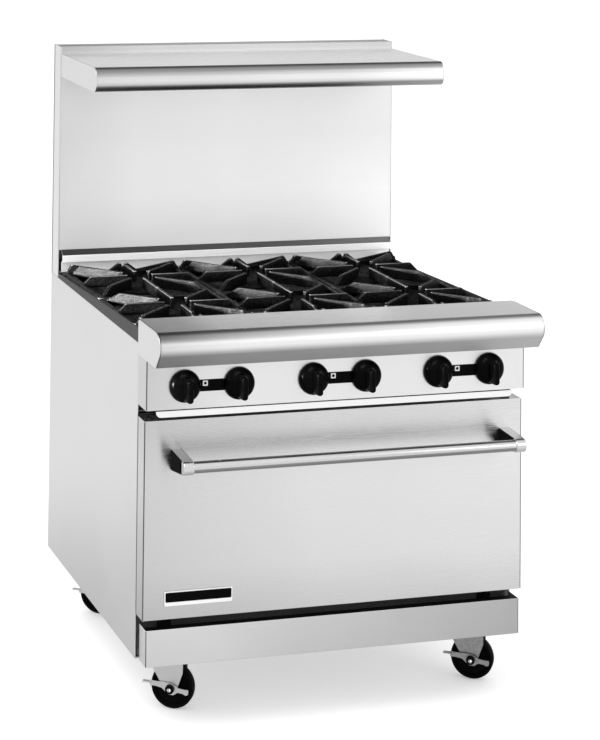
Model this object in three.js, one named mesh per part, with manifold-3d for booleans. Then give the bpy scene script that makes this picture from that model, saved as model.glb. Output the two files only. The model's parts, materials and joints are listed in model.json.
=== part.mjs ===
// Commercial gas range, 36 in wide: six open burners over one oven, a bullnose front rail,
// a backguard with a high shelf, and four braked swivel casters.
// Millimetres, +Z up. X runs left to right, the front faces -Y and the floor is z = 0.
// Inside the range group, y = 0 is the front edge of the side panels.
import * as THREE from 'three';
import { mergeVertices } from 'three/addons/utils/BufferGeometryUtils.js';
import Module from 'manifold-3d';

const wasm = await Module();
wasm.setup();

// ---------------------------------------------------------------- driving dimensions

const HALF_WIDTH = 457.2;
const BODY_DEPTH = 760;
const UNDERSIDE = 155;
const SIDE_TOP = 850;
const OVERALL_HEIGHT = 1435;
const SHEET = 2.5;
const GAP = 0.3;

const RAIL = { half: 459.5, top: 904, bottom: 826, back: -6, nose: -165, radius: 30, toe: -134 };
const PANEL = { face: -65, bottom: 715, top: RAIL.bottom - GAP };
const KNOB = {
  z: 766, columnPitch: 304.8, pitch: 127, radius: 36, reach: 45, barHalf: 7.5, barLow: -30, barHigh: 24,
  stemRadius: 4,
};
const TRAY = { half: 432, floorHalf: 418, front: -58, back: 690, bottom: 697, top: 711, corner: 12 };
const DOOR = { face: -54, back: -4, bottom: 255, top: 690, liner: 4, hingeY: -40, hingeZ: 266 };
const HINGE = { x: 390, armHalf: 3, pinRadius: 4, slotHalf: 5, earOffset: 11, earThick: 4 };
const HANDLE = { y: -129, z: 606, radius: 12.7, collar: 15.5, left: -394, right: 426, bracket: 25 };
const BADGE = { left: -408, right: -248, bottom: 283.5, top: 316.5, thick: 2, corner: 3 };
const KICK = { half: 450, face: -58, top: 235, returnEnd: -9 };

const OVEN = { half: 336.5, floor: 290, ceiling: 646, front: 2.8, back: 663, frameTop: 692, frameHalf: 452 };
const RACK = { z: 443.3, half: 333, wire: 6, bars: 9 };
const FLUE = { half: 150, front: 700, back: 750, bottom: 560, top: 1100, throatTop: 620 };

const BURNER = { pitch: 300, frontY: 203, radius: 46, base: 800, tubeZ: 780, tubeRadius: 14, mouthY: 5 };
const GRATE = {
  half: 148, bar: 12, bottom: 857, barTop: 871, top: 891, finThick: 8, finBottom: 864,
  sideInner: 32, sideFlat: 127, frontInner: 37, diagonalInner: 46, diagonalFlat: 160, diagonalEnd: 196,
  bowlOuter: 142, bowlInner: 62, bowlBottom: 835, bowlThick: 4,
};
const BOX = { bottom: 800, ledgeFront: -5.7, ledgeBack: 49.5, ledgeTop: 868, stripFront: 882, stripBack: 861 };
const GUARD = { face: 695, foot: 919, topHem: 10 };
const TRIM = { half: 450, foot: 864.3, wallY: 688, stripY: 678, stripBottom: 890, stripTop: 908, lipY: 692.5 };
const SHELF = { half: 456.2, nose: 370, top: 1417, bottom: 1358, radius: 20, lip: 25 };

const CASTER = {
  x: 372, frontY: 122, rearY: 722, turn: THREE.MathUtils.degToRad(-35), trail: 46, plateX: 45, plateY: 34,
};
const WHEEL = { radius: 50, half: 15, hubRadius: 14, hubHalf: 17, bore: 4.3 };
const FORK = { legInner: 18, legOuter: 21, crownRadius: 27, crownBottom: 139, axleRadius: 4 };
const BRAKE = { inner: 23, outer: 26.5, hubRadius: 13, hole: 4.6 };

// ---------------------------------------------------------------- materials

const finish = (color, roughness, metalness) => new THREE.MeshStandardMaterial({ color, roughness, metalness });
const STEEL = finish(0xd9dadb, 0.32, 1.0);
const DARK_SHEET = finish(0x3a3a3b, 0.6, 0.4);
const IRON = finish(0x1b1b1c, 0.75, 0.6);
const ENAMEL = finish(0x4d5157, 0.4, 0.1);
const ALUMINISED = finish(0xa9acae, 0.5, 0.9);
const KNOB_BLACK = finish(0x0d0d0e, 0.25, 0.0);
const BADGE_PLATE = finish(0xb9bbbd, 0.35, 0.8);
const ZINC = finish(0xb4b6b4, 0.4, 0.9);
const TYRE = finish(0x101010, 0.6, 0.0);
const CHROME = finish(0xdfe1e3, 0.12, 1.0);

// ---------------------------------------------------------------- solids

// Corners are rounded to a fine binary grid, so faces that are meant to be flush are exactly
// flush, and steps smaller than FLAT are smoothed away once a piece is finished.
const GRID = 1024;
const FLAT = 0.02;

// A closed three.js geometry as a solid that can be joined and cut.
function solid(geometry) {
  const bare = geometry.clone();
  bare.deleteAttribute('normal');
  bare.deleteAttribute('uv');
  const position = bare.attributes.position;
  for (let i = 0; i < position.array.length; i += 1) {
    position.array[i] = Math.round(position.array[i] * GRID) / GRID;
  }
  const merged = mergeVertices(bare, 1e-4);
  return new wasm.Manifold(new wasm.Mesh({
    numProp: 3,
    vertProperties: new Float32Array(merged.attributes.position.array),
    triVerts: new Uint32Array(merged.index.array),
  }));
}

const join = (...solids) => solids.reduce((whole, piece) => whole.add(piece));
const cut = (whole, ...tools) => tools.reduce((left, tool) => left.subtract(tool), whole);

function box(x0, x1, y0, y1, z0, z1) {
  const geometry = new THREE.BoxGeometry(x1 - x0, y1 - y0, z1 - z0);
  return solid(geometry.translate((x0 + x1) / 2, (y0 + y1) / 2, (z0 + z1) / 2));
}

// Mirrors one block into a left and right pair about x = 0.
const pairOf = (x0, x1, y0, y1, z0, z1) => join(box(x0, x1, y0, y1, z0, z1), box(-x1, -x0, y0, y1, z0, z1));

function outline(points) {
  return new THREE.Shape(points.map(([u, v]) => new THREE.Vector2(u, v)));
}

// An outline drawn in (y, z) and extruded along X.
function alongX(shape, x0, x1) {
  const geometry = new THREE.ExtrudeGeometry(shape, { depth: x1 - x0, bevelEnabled: false });
  const basis = new THREE.Matrix4().set(0, 0, 1, x0, 1, 0, 0, 0, 0, 1, 0, 0, 0, 0, 0, 1);
  return solid(geometry.applyMatrix4(basis));
}

// An outline drawn in (x, z) and extruded along Y.
function alongY(shape, y0, y1) {
  const geometry = new THREE.ExtrudeGeometry(shape, { depth: y1 - y0, bevelEnabled: false, curveSegments: 4 });
  const basis = new THREE.Matrix4().set(1, 0, 0, 0, 0, 0, -1, y1, 0, 1, 0, 0, 0, 0, 0, 1);
  return solid(geometry.applyMatrix4(basis));
}

// A round bar between two points.
function rod(from, to, radius, segments = 12) {
  const start = new THREE.Vector3(...from);
  const span = new THREE.Vector3(...to).sub(start);
  const geometry = new THREE.CylinderGeometry(radius, radius, span.length(), segments);
  const turn = new THREE.Quaternion().setFromUnitVectors(new THREE.Vector3(0, 1, 0), span.clone().normalize());
  geometry.applyQuaternion(turn);
  const middle = start.addScaledVector(span, 0.5);
  return solid(geometry.translate(middle.x, middle.y, middle.z));
}

// A profile of [radius, height] points turned about an axis: 'y' or 'z'.
function turned(profile, segments, axis = 'z') {
  const points = profile.map(([radius, height]) => new THREE.Vector2(radius, height));
  const geometry = new THREE.LatheGeometry(points, segments);
  if (axis === 'z') geometry.rotateX(Math.PI / 2);
  return solid(geometry);
}

function roundedRectangle(x0, x1, z0, z1, radius, roundTop = true) {
  const top = roundTop ? radius : 0;
  const shape = new THREE.Shape();
  shape.moveTo(x0 + radius, z0);
  shape.lineTo(x1 - radius, z0);
  shape.absarc(x1 - radius, z0 + radius, radius, -Math.PI / 2, 0);
  shape.lineTo(x1, z1 - top);
  if (roundTop) shape.absarc(x1 - top, z1 - top, top, 0, Math.PI / 2);
  shape.lineTo(x0 + top, z1);
  if (roundTop) shape.absarc(x0 + top, z1 - top, top, Math.PI / 2, Math.PI);
  shape.lineTo(x0, z0 + radius);
  shape.absarc(x0 + radius, z0 + radius, radius, Math.PI, 1.5 * Math.PI);
  return shape;
}

// Points along a circular arc, ends included.
function arc(cy, cz, radius, from, to, steps) {
  return Array.from({ length: steps + 1 }, (_, i) => {
    const angle = from + ((to - from) * i) / steps;
    return [cy + radius * Math.cos(angle), cz + radius * Math.sin(angle)];
  });
}

function toGeometry(body) {
  const { vertProperties, triVerts } = body.asOriginal().simplify(FLAT).getMesh();
  const geometry = new THREE.BufferGeometry();
  geometry.setAttribute('position', new THREE.BufferAttribute(new Float32Array(vertProperties), 3));
  geometry.setIndex(new THREE.BufferAttribute(new Uint32Array(triVerts), 1));
  geometry.computeVertexNormals();
  return geometry;
}

function piece(name, body, material) {
  const mesh = new THREE.Mesh(toGeometry(body), material);
  mesh.name = name;
  return mesh;
}

// A group placed at a point and turned about Z, with its pieces inside.
function placed(x, y, z, turn, ...pieces) {
  const group = new THREE.Group();
  group.position.set(x, y, z);
  group.rotation.z = turn;
  group.add(...pieces);
  return group;
}

const SIDES = [['left', -1], ['right', 1]];
const COLUMNS = [['left', -1], ['centre', 0], ['right', 1]];
const ROWS = [['front', 0], ['back', 1]];
const knobX = (column, row) => column * KNOB.columnPitch + (row - 0.5) * KNOB.pitch;
const burnerX = (column) => column * BURNER.pitch;
const burnerY = (row) => BURNER.frontY + row * BURNER.pitch;

// ---------------------------------------------------------------- body panels

// A side panel carries the ledge that the crumb tray slides on.
function sidePanel(side) {
  const ledge = [HALF_WIDTH - 48, HALF_WIDTH - SHEET, 12, 700, TRAY.bottom - 3, TRAY.bottom - GAP];
  const sheet = [HALF_WIDTH - SHEET, HALF_WIDTH, 0, BODY_DEPTH, UNDERSIDE, SIDE_TOP];
  const mirror = ([x0, x1, ...rest]) => (side > 0 ? box(x0, x1, ...rest) : box(-x1, -x0, ...rest));
  return join(mirror(sheet), mirror(ledge));
}

// The lower back closes the body, with cooling slots and a hole for the gas inlet.
function rearPanel() {
  const half = HALF_WIDTH - SHEET - GAP;
  const sheet = box(-half, half, BODY_DEPTH - SHEET - GAP, BODY_DEPTH - GAP, UNDERSIDE + 3.3, SIDE_TOP - GAP);
  const slots = [0, 1, 2, 3].map((i) => box(-260, 260, BODY_DEPTH - 10, BODY_DEPTH + 5, 220 + 22 * i, 230 + 22 * i));
  const inlet = rod([-440, BODY_DEPTH - 10, KNOB.z], [-440, BODY_DEPTH + 5, KNOB.z], 16);
  return cut(sheet, ...slots, inlet);
}

// The bottom pan, with a plate under each corner for the casters.
function baseFrame() {
  const half = HALF_WIDTH - SHEET - GAP;
  const pan = box(-half, half, GAP, BODY_DEPTH - SHEET - 2 * GAP, UNDERSIDE, UNDERSIDE + 3);
  const { x, plateX, plateY } = CASTER;
  const plates = [CASTER.frontY, CASTER.rearY].map((y) => (
    pairOf(x - plateX, x + plateX, y - plateY, y + plateY, UNDERSIDE - 5.7, UNDERSIDE + 1)
  ));
  return join(pan, ...plates);
}

function kickPlate() {
  const { half, face, top, returnEnd } = KICK;
  const inside = half - SHEET;
  const fold = cut(
    box(-half, half, face, returnEnd, UNDERSIDE, top),
    box(-inside, inside, face + SHEET, returnEnd + 5, UNDERSIDE - 5, top - SHEET),
    box(-inside, inside, face + 22, returnEnd + 5, top - 10, top + 5),
  );
  const tabs = pairOf(300, 330, face + 1, 30, UNDERSIDE + 3 + GAP, UNDERSIDE + 3 + GAP + SHEET);
  return join(fold, tabs);
}

// The front face folds back at its sides, top and bottom, and has a hole for each valve stem.
function controlPanel() {
  const { face, bottom, top } = PANEL;
  const holes = knobPlaces().map(({ x }) => rod([x, face - 5, KNOB.z], [x, face + 8, KNOB.z], 7, 10));
  const shell = join(
    box(-HALF_WIDTH, HALF_WIDTH, face, face + SHEET, bottom, top),
    box(-HALF_WIDTH, HALF_WIDTH, face, face + 22, bottom, bottom + SHEET),
    box(-HALF_WIDTH, HALF_WIDTH, face, -GAP, top - SHEET, top),
    pairOf(HALF_WIDTH - SHEET, HALF_WIDTH, face, -GAP, bottom, top),
  );
  return cut(shell, ...holes);
}

// The bullnose section in (y, z), moved inwards by an inset: flat top, round nose, and an
// underside that slopes back to the toe.
function bullnose(inset) {
  const { top, bottom, back, nose, radius, toe } = RAIL;
  const centreY = nose + radius;
  const centreZ = top - radius;
  const span = Math.hypot(toe - centreY, bottom - centreZ);
  const toToe = Math.atan2(bottom - centreZ, toe - centreY);
  const tangent = toToe - Math.acos(radius / span);
  const round = arc(centreY, centreZ, radius - inset, Math.PI / 2, tangent + 2 * Math.PI, 9);
  const foot = [toe + inset * 1.3, bottom + inset];
  return { rim: [[back - inset, top - inset], ...round, foot] };
}

function frontRail() {
  const { half, bottom, back, top } = RAIL;
  const flangeEnd = PANEL.face - 1;
  const outer = bullnose(0).rim;
  const inner = bullnose(SHEET).rim;
  const skin = outline([
    [back, top - 50], ...outer, [flangeEnd, bottom], [flangeEnd, bottom + SHEET],
    ...inner.reverse(), [back - SHEET, top - 50],
  ]);
  const cap = outline([[back, bottom], ...outer]);
  const inside = half - SHEET;
  return join(alongX(skin, -inside, inside), alongX(cap, -half, -inside), alongX(cap, inside, half));
}

// ---------------------------------------------------------------- burner section

function knobPlaces() {
  return COLUMNS.flatMap(([column, c]) => ROWS.map(([row, r]) => ({
    name: `knob_${row}_${column}`,
    x: knobX(c, r),
  })));
}

// A knob: domed skirt, straight grip bar whose lower end is the pointer, and the valve stem.
// The knob's origin is where its axis meets the panel, and it stands out towards -Y.
function knobBody() {
  const { radius, reach, barHalf, barLow, barHigh, stemRadius } = KNOB;
  const skirt = turned([
    [0, -21], [16, -20], [radius - 8, -15.5], [radius - 1.5, -8], [radius, -1.5], [0, -1.5],
  ], 20, 'y');
  const bar = alongY(roundedRectangle(-barHalf, barHalf, barLow, barHigh, 6), -reach, -8);
  const stem = rod([0, -10, 0], [0, 30, 0], stemRadius, 6);
  return join(skirt, bar, stem);
}

// Manifold pipe with a valve behind each knob, and the supply pipe along the left side.
function gasManifold() {
  const y = -28;
  const pipe = rod([-440, y, KNOB.z], [430, y, KNOB.z], 13, 8);
  const supply = rod([-440, y - 12, KNOB.z], [-440, BODY_DEPTH - 4, KNOB.z], 12.5, 8);
  const valves = knobPlaces().map(({ x }) => join(
    box(x - 14, x + 14, -58, -8, KNOB.z - 14, KNOB.z + 14),
    rod([x, -9, KNOB.z], [x, 0, KNOB.z], 5, 6),
  ));
  const sockets = knobPlaces().map(({ x }) => rod([x, -62, KNOB.z], [x, -28, KNOB.z], KNOB.stemRadius + 0.6, 8));
  return cut(join(pipe, supply, ...valves), ...sockets);
}

// An open burner: ported head on a throat, fed by a mixing tube from the valve at tubeX.
function burnerBody(tubeX, tubeStart) {
  const { radius, base, tubeZ, tubeRadius } = BURNER;
  const head = turned([
    [0, tubeZ - 6], [20, tubeZ - 6], [radius - 6, base + 8], [radius - 6, base + 34],
    [radius, base + 38], [radius, base + 42], [radius - 9, base + 52], [0, base + 52],
  ], 16);
  const tube = rod([tubeX, tubeStart, tubeZ], [tubeX, tubeRadius, tubeZ], tubeRadius, 8);
  const elbow = rod([tubeX + Math.sign(tubeX) * tubeRadius, 0, tubeZ], [0, 0, tubeZ], tubeRadius, 8);
  const mouth = rod([tubeX, tubeStart, tubeZ], [tubeX, tubeStart + 20, tubeZ], tubeRadius + 5, 8);
  return join(head, tube, elbow, mouth);
}

// The black top frame: tapered side strips, a ledge behind the rail, and bars under the grates.
function burnerBox() {
  const { bottom, ledgeFront, ledgeBack, ledgeTop, stripFront, stripBack } = BOX;
  const seat = GRATE.bottom - GAP;
  const inner = HALF_WIDTH - 5.8;
  const outer = HALF_WIDTH - SHEET - GAP;
  const rearY = burnerY(1) + GRATE.half + 2;
  const stripShape = outline([[0.5, SIDE_TOP + GAP], [692, SIDE_TOP + GAP], [692, stripBack], [0.5, stripFront]]);
  const middleY = (burnerY(0) + burnerY(1)) / 2;
  const columnX = BURNER.pitch / 2;
  return join(
    alongX(stripShape, -HALF_WIDTH, -HALF_WIDTH + 3.6),
    alongX(stripShape, HALF_WIDTH - 3.6, HALF_WIDTH),
    pairOf(inner, outer, 20, rearY + 3, bottom, seat),
    box(-inner - 1, inner + 1, ledgeFront, ledgeBack, ledgeTop - 6, ledgeTop),
    box(-inner - 1, inner + 1, ledgeBack - 3.5, ledgeBack, bottom, ledgeTop),
    box(-inner - 1, inner + 1, ledgeBack - 1, ledgeBack + 11, seat - 4, seat),
    box(-inner - 1, inner + 1, rearY - 9, rearY + 1, seat - 4, seat),
    box(-inner - 1, inner + 1, rearY, rearY + 3, bottom, 864),
    box(-inner - 1, inner + 1, rearY, TRIM.wallY - 0.5, 861, 864),
    pairOf(columnX - 6, columnX + 6, ledgeBack - 1, rearY + 1, seat - 4, seat),
    box(-inner - 1, inner + 1, middleY - 6, middleY + 6, seat - 4, seat),
  );
}

// One upright fin of a grate, standing along +X: flat top from `inner` to `flat`, then down to `end`.
function grateFin(inner, flat, end, endTop) {
  const { finBottom, top, finThick } = GRATE;
  const shape = outline([[inner, finBottom], [end, finBottom], [end, endTop], [flat, top], [inner, top]]);
  return alongY(shape, -finThick / 2, finThick / 2);
}

// A cast 12 in square grate with its bowl: square frame, eight fins and a sloping bowl below.
function grateBody() {
  const { half, bar, bottom, barTop, top, bowlOuter, bowlInner, bowlBottom, bowlThick } = GRATE;
  const { sideInner, sideFlat, frontInner, diagonalInner, diagonalFlat, diagonalEnd } = GRATE;
  const frame = cut(
    box(-half, half, -half, half, bottom, barTop),
    box(-half + bar, half - bar, -half + bar, half - bar, bottom - 5, barTop + 5),
  );
  const side = grateFin(sideInner, sideFlat, half - 1, barTop);
  const front = grateFin(frontInner, half - 1, half - 0.5, top);
  const diagonal = grateFin(diagonalInner, diagonalFlat, diagonalEnd, barTop - 3);
  const fins = [
    ...[0, 180].map((degrees) => side.rotate([0, 0, degrees])),
    ...[90, 270].map((degrees) => front.rotate([0, 0, degrees])),
    ...[45, 135, 225, 315].map((degrees) => diagonal.rotate([0, 0, degrees])),
  ];
  const bowl = turned([
    [bowlInner, bowlBottom], [bowlOuter, bottom], [bowlOuter, bottom + bowlThick],
    [bowlInner, bowlBottom + bowlThick], [bowlInner, bowlBottom],
  ], 16);
  return join(frame, bowl, ...fins);
}

function crumbTray() {
  const { half, floorHalf, front, back, bottom, top, corner } = TRAY;
  const lip = alongY(roundedRectangle(-half, half, bottom, top, corner, false), front, front + SHEET);
  const pan = cut(
    box(-floorHalf, floorHalf, front + 1, back, bottom + 0.5, top - 2),
    box(-floorHalf + SHEET, floorHalf - SHEET, front - 5, back - SHEET, bottom + 0.5 + SHEET, top + 5),
  );
  return join(lip, pan);
}

// ---------------------------------------------------------------- backguard and shelf

// Front sheet and side returns of the backguard. The top stays open as the flue outlet.
function backguardPanel() {
  const { face, foot, topHem } = GUARD;
  const backEdge = BODY_DEPTH - SHEET - 2 * GAP;
  return join(
    box(-HALF_WIDTH, HALF_WIDTH, face, face + SHEET, foot, OVERALL_HEIGHT),
    box(-HALF_WIDTH, HALF_WIDTH, face, face + topHem, OVERALL_HEIGHT - SHEET, OVERALL_HEIGHT),
    pairOf(HALF_WIDTH - SHEET, HALF_WIDTH, face, backEdge, SIDE_TOP + GAP, OVERALL_HEIGHT),
  );
}

function backguardRearCover() {
  const back = BODY_DEPTH;
  return join(
    box(-HALF_WIDTH, HALF_WIDTH, back - SHEET - GAP, back - GAP, SIDE_TOP + GAP, OVERALL_HEIGHT - 1),
    box(-HALF_WIDTH + 6, HALF_WIDTH - 6, back - GUARD.topHem, back - 1, OVERALL_HEIGHT - 1 - SHEET, OVERALL_HEIGHT - 1),
  );
}

// The folded strip at the foot of the backguard: low wall, upright band and a sloping lip.
function riserTrim() {
  const { half, foot, wallY, stripY, stripBottom, stripTop, lipY } = TRIM;
  const thick = 2;
  const lipTop = stripTop + (lipY - stripY) * 0.85;
  return alongX(outline([
    [wallY, foot], [wallY, stripBottom], [stripY, stripBottom], [stripY, stripTop], [lipY, lipTop],
    [lipY + thick, lipTop - 0.5], [stripY + thick, stripTop - 1], [stripY + thick, stripBottom + thick],
    [wallY + thick, stripBottom + thick], [wallY + thick, foot],
  ]), -half, half);
}

// The shelf's section in (y, z): flat top, rolled nose and a short lip turned back underneath.
function shelfRim(inset) {
  const { nose, top, bottom, radius, lip } = SHELF;
  const round = radius - inset;
  return [
    [GUARD.face - GAP, top - inset],
    ...arc(nose + radius, top - radius, round, Math.PI / 2, Math.PI, 6),
    ...arc(nose + radius, bottom + radius, round, Math.PI, 1.5 * Math.PI, 6),
    [nose + radius + lip, bottom + inset],
  ];
}

function highShelf() {
  const { half, bottom, top } = SHELF;
  const back = GUARD.face - GAP;
  const skin = outline([...shelfRim(0), ...shelfRim(SHEET).reverse()]);
  const cap = outline([...shelfRim(0), [back, bottom]]);
  const inside = half - SHEET;
  return join(
    alongX(skin, -inside, inside),
    alongX(cap, -half, -inside),
    alongX(cap, inside, half),
    box(-inside, inside, back - SHEET, back, bottom, top - 1),
  );
}

// ---------------------------------------------------------------- oven

// Five-walled liner with the front frame around its mouth and ledges for the rack.
function ovenLiner() {
  const { half, floor, ceiling, front, back, frameTop, frameHalf } = OVEN;
  const shell = cut(
    join(
      box(-half - SHEET, half + SHEET, front - 1, back + SHEET, floor - SHEET, ceiling + SHEET),
      box(-frameHalf, frameHalf, GAP, front, UNDERSIDE + 7, frameTop),
    ),
    box(-half, half, -10, back, floor, ceiling),
    box(-FLUE.half + 10, FLUE.half - 10, back - 5, back + 10, FLUE.bottom + 10, FLUE.throatTop - 10),
    box(-120, 120, 180, 420, floor - 10, floor + 5),
  );
  return join(shell, pairOf(half - 9, half + 1, 20, back - 10, RACK.z - 3.3, RACK.z - GAP));
}

function ovenRack() {
  const { z, half, wire, bars } = RACK;
  const front = 24;
  const back = OVEN.back - 15;
  const pitch = (2 * half - wire) / (bars - 1);
  const lengthwise = Array.from({ length: bars }, (_, i) => (
    box(-half + i * pitch, -half + i * pitch + wire, front, back, z, z + wire)
  ));
  return join(
    ...lengthwise,
    ...[front, back - wire].map((y) => box(-half, half, y, y + wire, z, z + wire)),
    box(-half, half, back - wire, back, z, z + 22),
  );
}

// The oven deck: a plate on feet that spreads the heat, with slots along its sides.
function ovenDeck() {
  const plate = box(-325, 325, 20, 650, OVEN.floor + 10, OVEN.floor + 13);
  const feet = [30, 600].map((y) => pairOf(300, 320, y, y + 20, OVEN.floor + GAP, OVEN.floor + 11));
  const slots = [0, 1, 2, 3, 4].map((i) => (
    pairOf(280, 300, 110 + 100 * i, 170 + 100 * i, OVEN.floor, OVEN.floor + 20)
  ));
  return cut(join(plate, ...feet), ...slots);
}

function ovenBurner() {
  const z = 215;
  return join(
    rod([0, 30, z], [0, 560, z], 19, 20),
    box(-14, 14, 60, 66, UNDERSIDE + 3 + GAP, z),
    box(-14, 14, 500, 506, UNDERSIDE + 3 + GAP, z),
  );
}

// Flue riser: a box duct from the oven's back wall up into the backguard.
function flueRiser() {
  const { half, front, back, bottom, top, throatTop } = FLUE;
  const throatY = OVEN.back + SHEET + GAP;
  return cut(
    join(
      box(-half, half, front, back, bottom, top),
      box(-half, half, throatY, front + 1, bottom, throatTop),
    ),
    box(-half + SHEET, half - SHEET, front + SHEET, back - SHEET, bottom + SHEET, top + 5),
    box(-half + SHEET, half - SHEET, throatY - 5, front + 5, bottom + SHEET, throatTop - SHEET),
  );
}

// Hinge arm fixed to the front frame: it reaches into the door and holds the hinge pin.
function hingeBracket(side) {
  const x = side * HINGE.x;
  const reach = 6;
  const arm = box(x - HINGE.armHalf, x + HINGE.armHalf, DOOR.hingeY - reach, 0, DOOR.hingeZ - 5, DOOR.hingeZ + 5);
  const leg = box(x - HINGE.armHalf, x + HINGE.armHalf, -6, 0, 215, DOOR.hingeZ + 5);
  const foot = box(x - 16, x + 16, -2.5, 0, 215, DOOR.bottom - 3);
  const eye = rod([x - 10, DOOR.hingeY, DOOR.hingeZ], [x + 10, DOOR.hingeY, DOOR.hingeZ], HINGE.pinRadius + GAP);
  return cut(join(arm, leg, foot), eye);
}

function hingePin(side) {
  const x = side * HINGE.x;
  const half = HINGE.earOffset + HINGE.earThick + 2;
  return rod([x - half, DOOR.hingeY, DOOR.hingeZ], [x + half, DOOR.hingeY, DOOR.hingeZ], HINGE.pinRadius);
}

// ---------------------------------------------------------------- oven door

// The outer pan of the door, with ears inside for the hinge pins.
function doorSkin() {
  const { face, back, bottom, top, liner, hingeY, hingeZ } = DOOR;
  const rear = back - liner - GAP;
  const pan = cut(
    box(-HALF_WIDTH, HALF_WIDTH, face, rear, bottom, top),
    box(-HALF_WIDTH + SHEET, HALF_WIDTH - SHEET, face + SHEET, rear + 5, bottom + SHEET, top - SHEET),
  );
  const { x, earOffset, earThick, slotHalf, pinRadius } = HINGE;
  const ears = [x - earOffset, x + earOffset].map((at) => (
    pairOf(at - earThick / 2, at + earThick / 2, face + 1, hingeY + 10, bottom + 1, hingeZ + 10)
  ));
  const pinHoles = [-x, x].map((at) => rod([at - 20, hingeY, hingeZ], [at + 20, hingeY, hingeZ], pinRadius + GAP));
  const slots = pairOf(x - slotHalf, x + slotHalf, hingeY - 7, rear + 5, bottom - 5, bottom + SHEET + 2);
  return cut(join(pan, ...ears), ...pinHoles, slots);
}

function doorLiner() {
  const { back, bottom, top, liner, hingeZ } = DOOR;
  const { x, slotHalf } = HINGE;
  return cut(
    box(-HALF_WIDTH, HALF_WIDTH, back - liner, back, bottom, top),
    pairOf(x - slotHalf, x + slotHalf, back - liner - 5, back + 5, bottom - 5, hingeZ + 8),
  );
}

// A handle bracket: wedge from the door to a collar, with a blind socket for the tube.
function handleBracket(side) {
  const { y, z, radius, collar, left, right, bracket } = HANDLE;
  const x0 = side < 0 ? left : right - bracket;
  const x1 = x0 + bracket;
  const doorFace = DOOR.face - GAP;
  const wedge = alongX(outline([[doorFace, z - 27], [doorFace, z + 19], [y, z + collar], [y, z - collar]]), x0, x1);
  const ring = rod([x0, y, z], [x1, y, z], collar, 24);
  const socket = side < 0 ? [x0 + 4, x1 + 5] : [x0 - 5, x1 - 4];
  return cut(join(wedge, ring), rod([socket[0], y, z], [socket[1], y, z], radius + GAP, 24));
}

function handleTube() {
  const { y, z, radius, left, right } = HANDLE;
  return rod([left + 5, y, z], [right - 5, y, z], radius, 24);
}

function badgePlate() {
  const { left, right, bottom, top, thick, corner } = BADGE;
  const back = DOOR.face - GAP;
  return alongY(roundedRectangle(left, right, bottom, top, corner), back - thick, back);
}

// ---------------------------------------------------------------- casters

// Caster pieces are drawn about the swivel axis, with the wheel trailing towards +X and the
// brake lever on the -Y side.
function casterFork() {
  const { legInner, legOuter, crownRadius, crownBottom, axleRadius } = FORK;
  const { trail } = CASTER;
  const crownTop = UNDERSIDE - 6;
  const axleZ = WHEEL.radius;
  const legShape = outline([
    [-22, crownBottom + 1], [-16, 112], [2, 92], [trail - 22, axleZ + 5], [trail - 12, axleZ - 10],
    [trail + 12, axleZ - 10], [trail + 17, axleZ + 5], [trail + 28, 86], [trail + 28, crownBottom + 1],
  ]);
  return join(
    turned([[0, crownBottom], [crownRadius, crownBottom], [crownRadius, crownTop], [0, crownTop]], 12),
    box(-22, trail + 28, -legOuter, legOuter, crownBottom - 3, crownBottom + 2),
    alongY(legShape, -legOuter, -legInner),
    alongY(legShape, legInner, legOuter),
    rod([trail, -33, axleZ], [trail, legOuter + 4, axleZ], axleRadius, 8),
    rod([trail, -33, axleZ], [trail, -27.2, axleZ], 8.5, 6),
    rod([trail, legOuter - 1, axleZ], [trail, legOuter + 6, axleZ], 8, 6),
  );
}

function casterWheel() {
  const { radius, half, hubRadius, hubHalf, bore } = WHEEL;
  const halfProfile = [[bore, hubHalf], [hubRadius, hubHalf], [radius - 5, half], [radius, half - 6]];
  const nearHalf = halfProfile.map(([r, y]) => [r, -y]);
  return turned([...nearHalf, ...halfProfile.reverse(), nearHalf[0]], 20, 'y')
    .translate([CASTER.trail, 0, radius]);
}

// The brake lever pivots on the axle: a long arm each side of the hub and a pedal at one end.
function brakeLever() {
  const { inner, outer, hubRadius, hole } = BRAKE;
  const { trail } = CASTER;
  const axleZ = WHEEL.radius;
  const bar = outline([
    [-48, 2], [-48, 13], [-28, 13], [2, hubRadius], [12, 8], [20, 4], [33, 3], [41, 3], [43, -1], [42, -8],
    [37, -10], [30, -7], [18, -6], [8, -hubRadius], [-3, -hubRadius], [-11, -7], [-20, 0], [-34, 2],
  ].map(([x, z]) => [trail + x, axleZ + z]));
  const lever = join(
    alongY(bar, -outer, -inner),
    box(trail - 64, trail - 45, -outer - 6, -inner, axleZ + 9, axleZ + 12),
  );
  return cut(lever, rod([trail, -outer - 5, axleZ], [trail, -inner + 5, axleZ], hole));
}

function caster(place, x, y) {
  return placed(
    x, y, 0, CASTER.turn,
    piece(`caster_fork_${place}`, casterFork(), ZINC),
    piece(`caster_wheel_${place}`, casterWheel(), TYRE),
    piece(`brake_lever_${place}`, brakeLever(), ZINC),
  );
}

// ---------------------------------------------------------------- assembly

const range = new THREE.Group();
range.position.y = -(BODY_DEPTH + RAIL.nose) / 2;

for (const [name, side] of SIDES) {
  range.add(piece(`side_panel_${name}`, sidePanel(side), STEEL));
  range.add(piece(`hinge_bracket_${name}`, hingeBracket(side), ZINC));
  range.add(piece(`hinge_pin_${name}`, hingePin(side), ZINC));
  range.add(piece(`handle_bracket_${name}`, handleBracket(side), STEEL));
}

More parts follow.
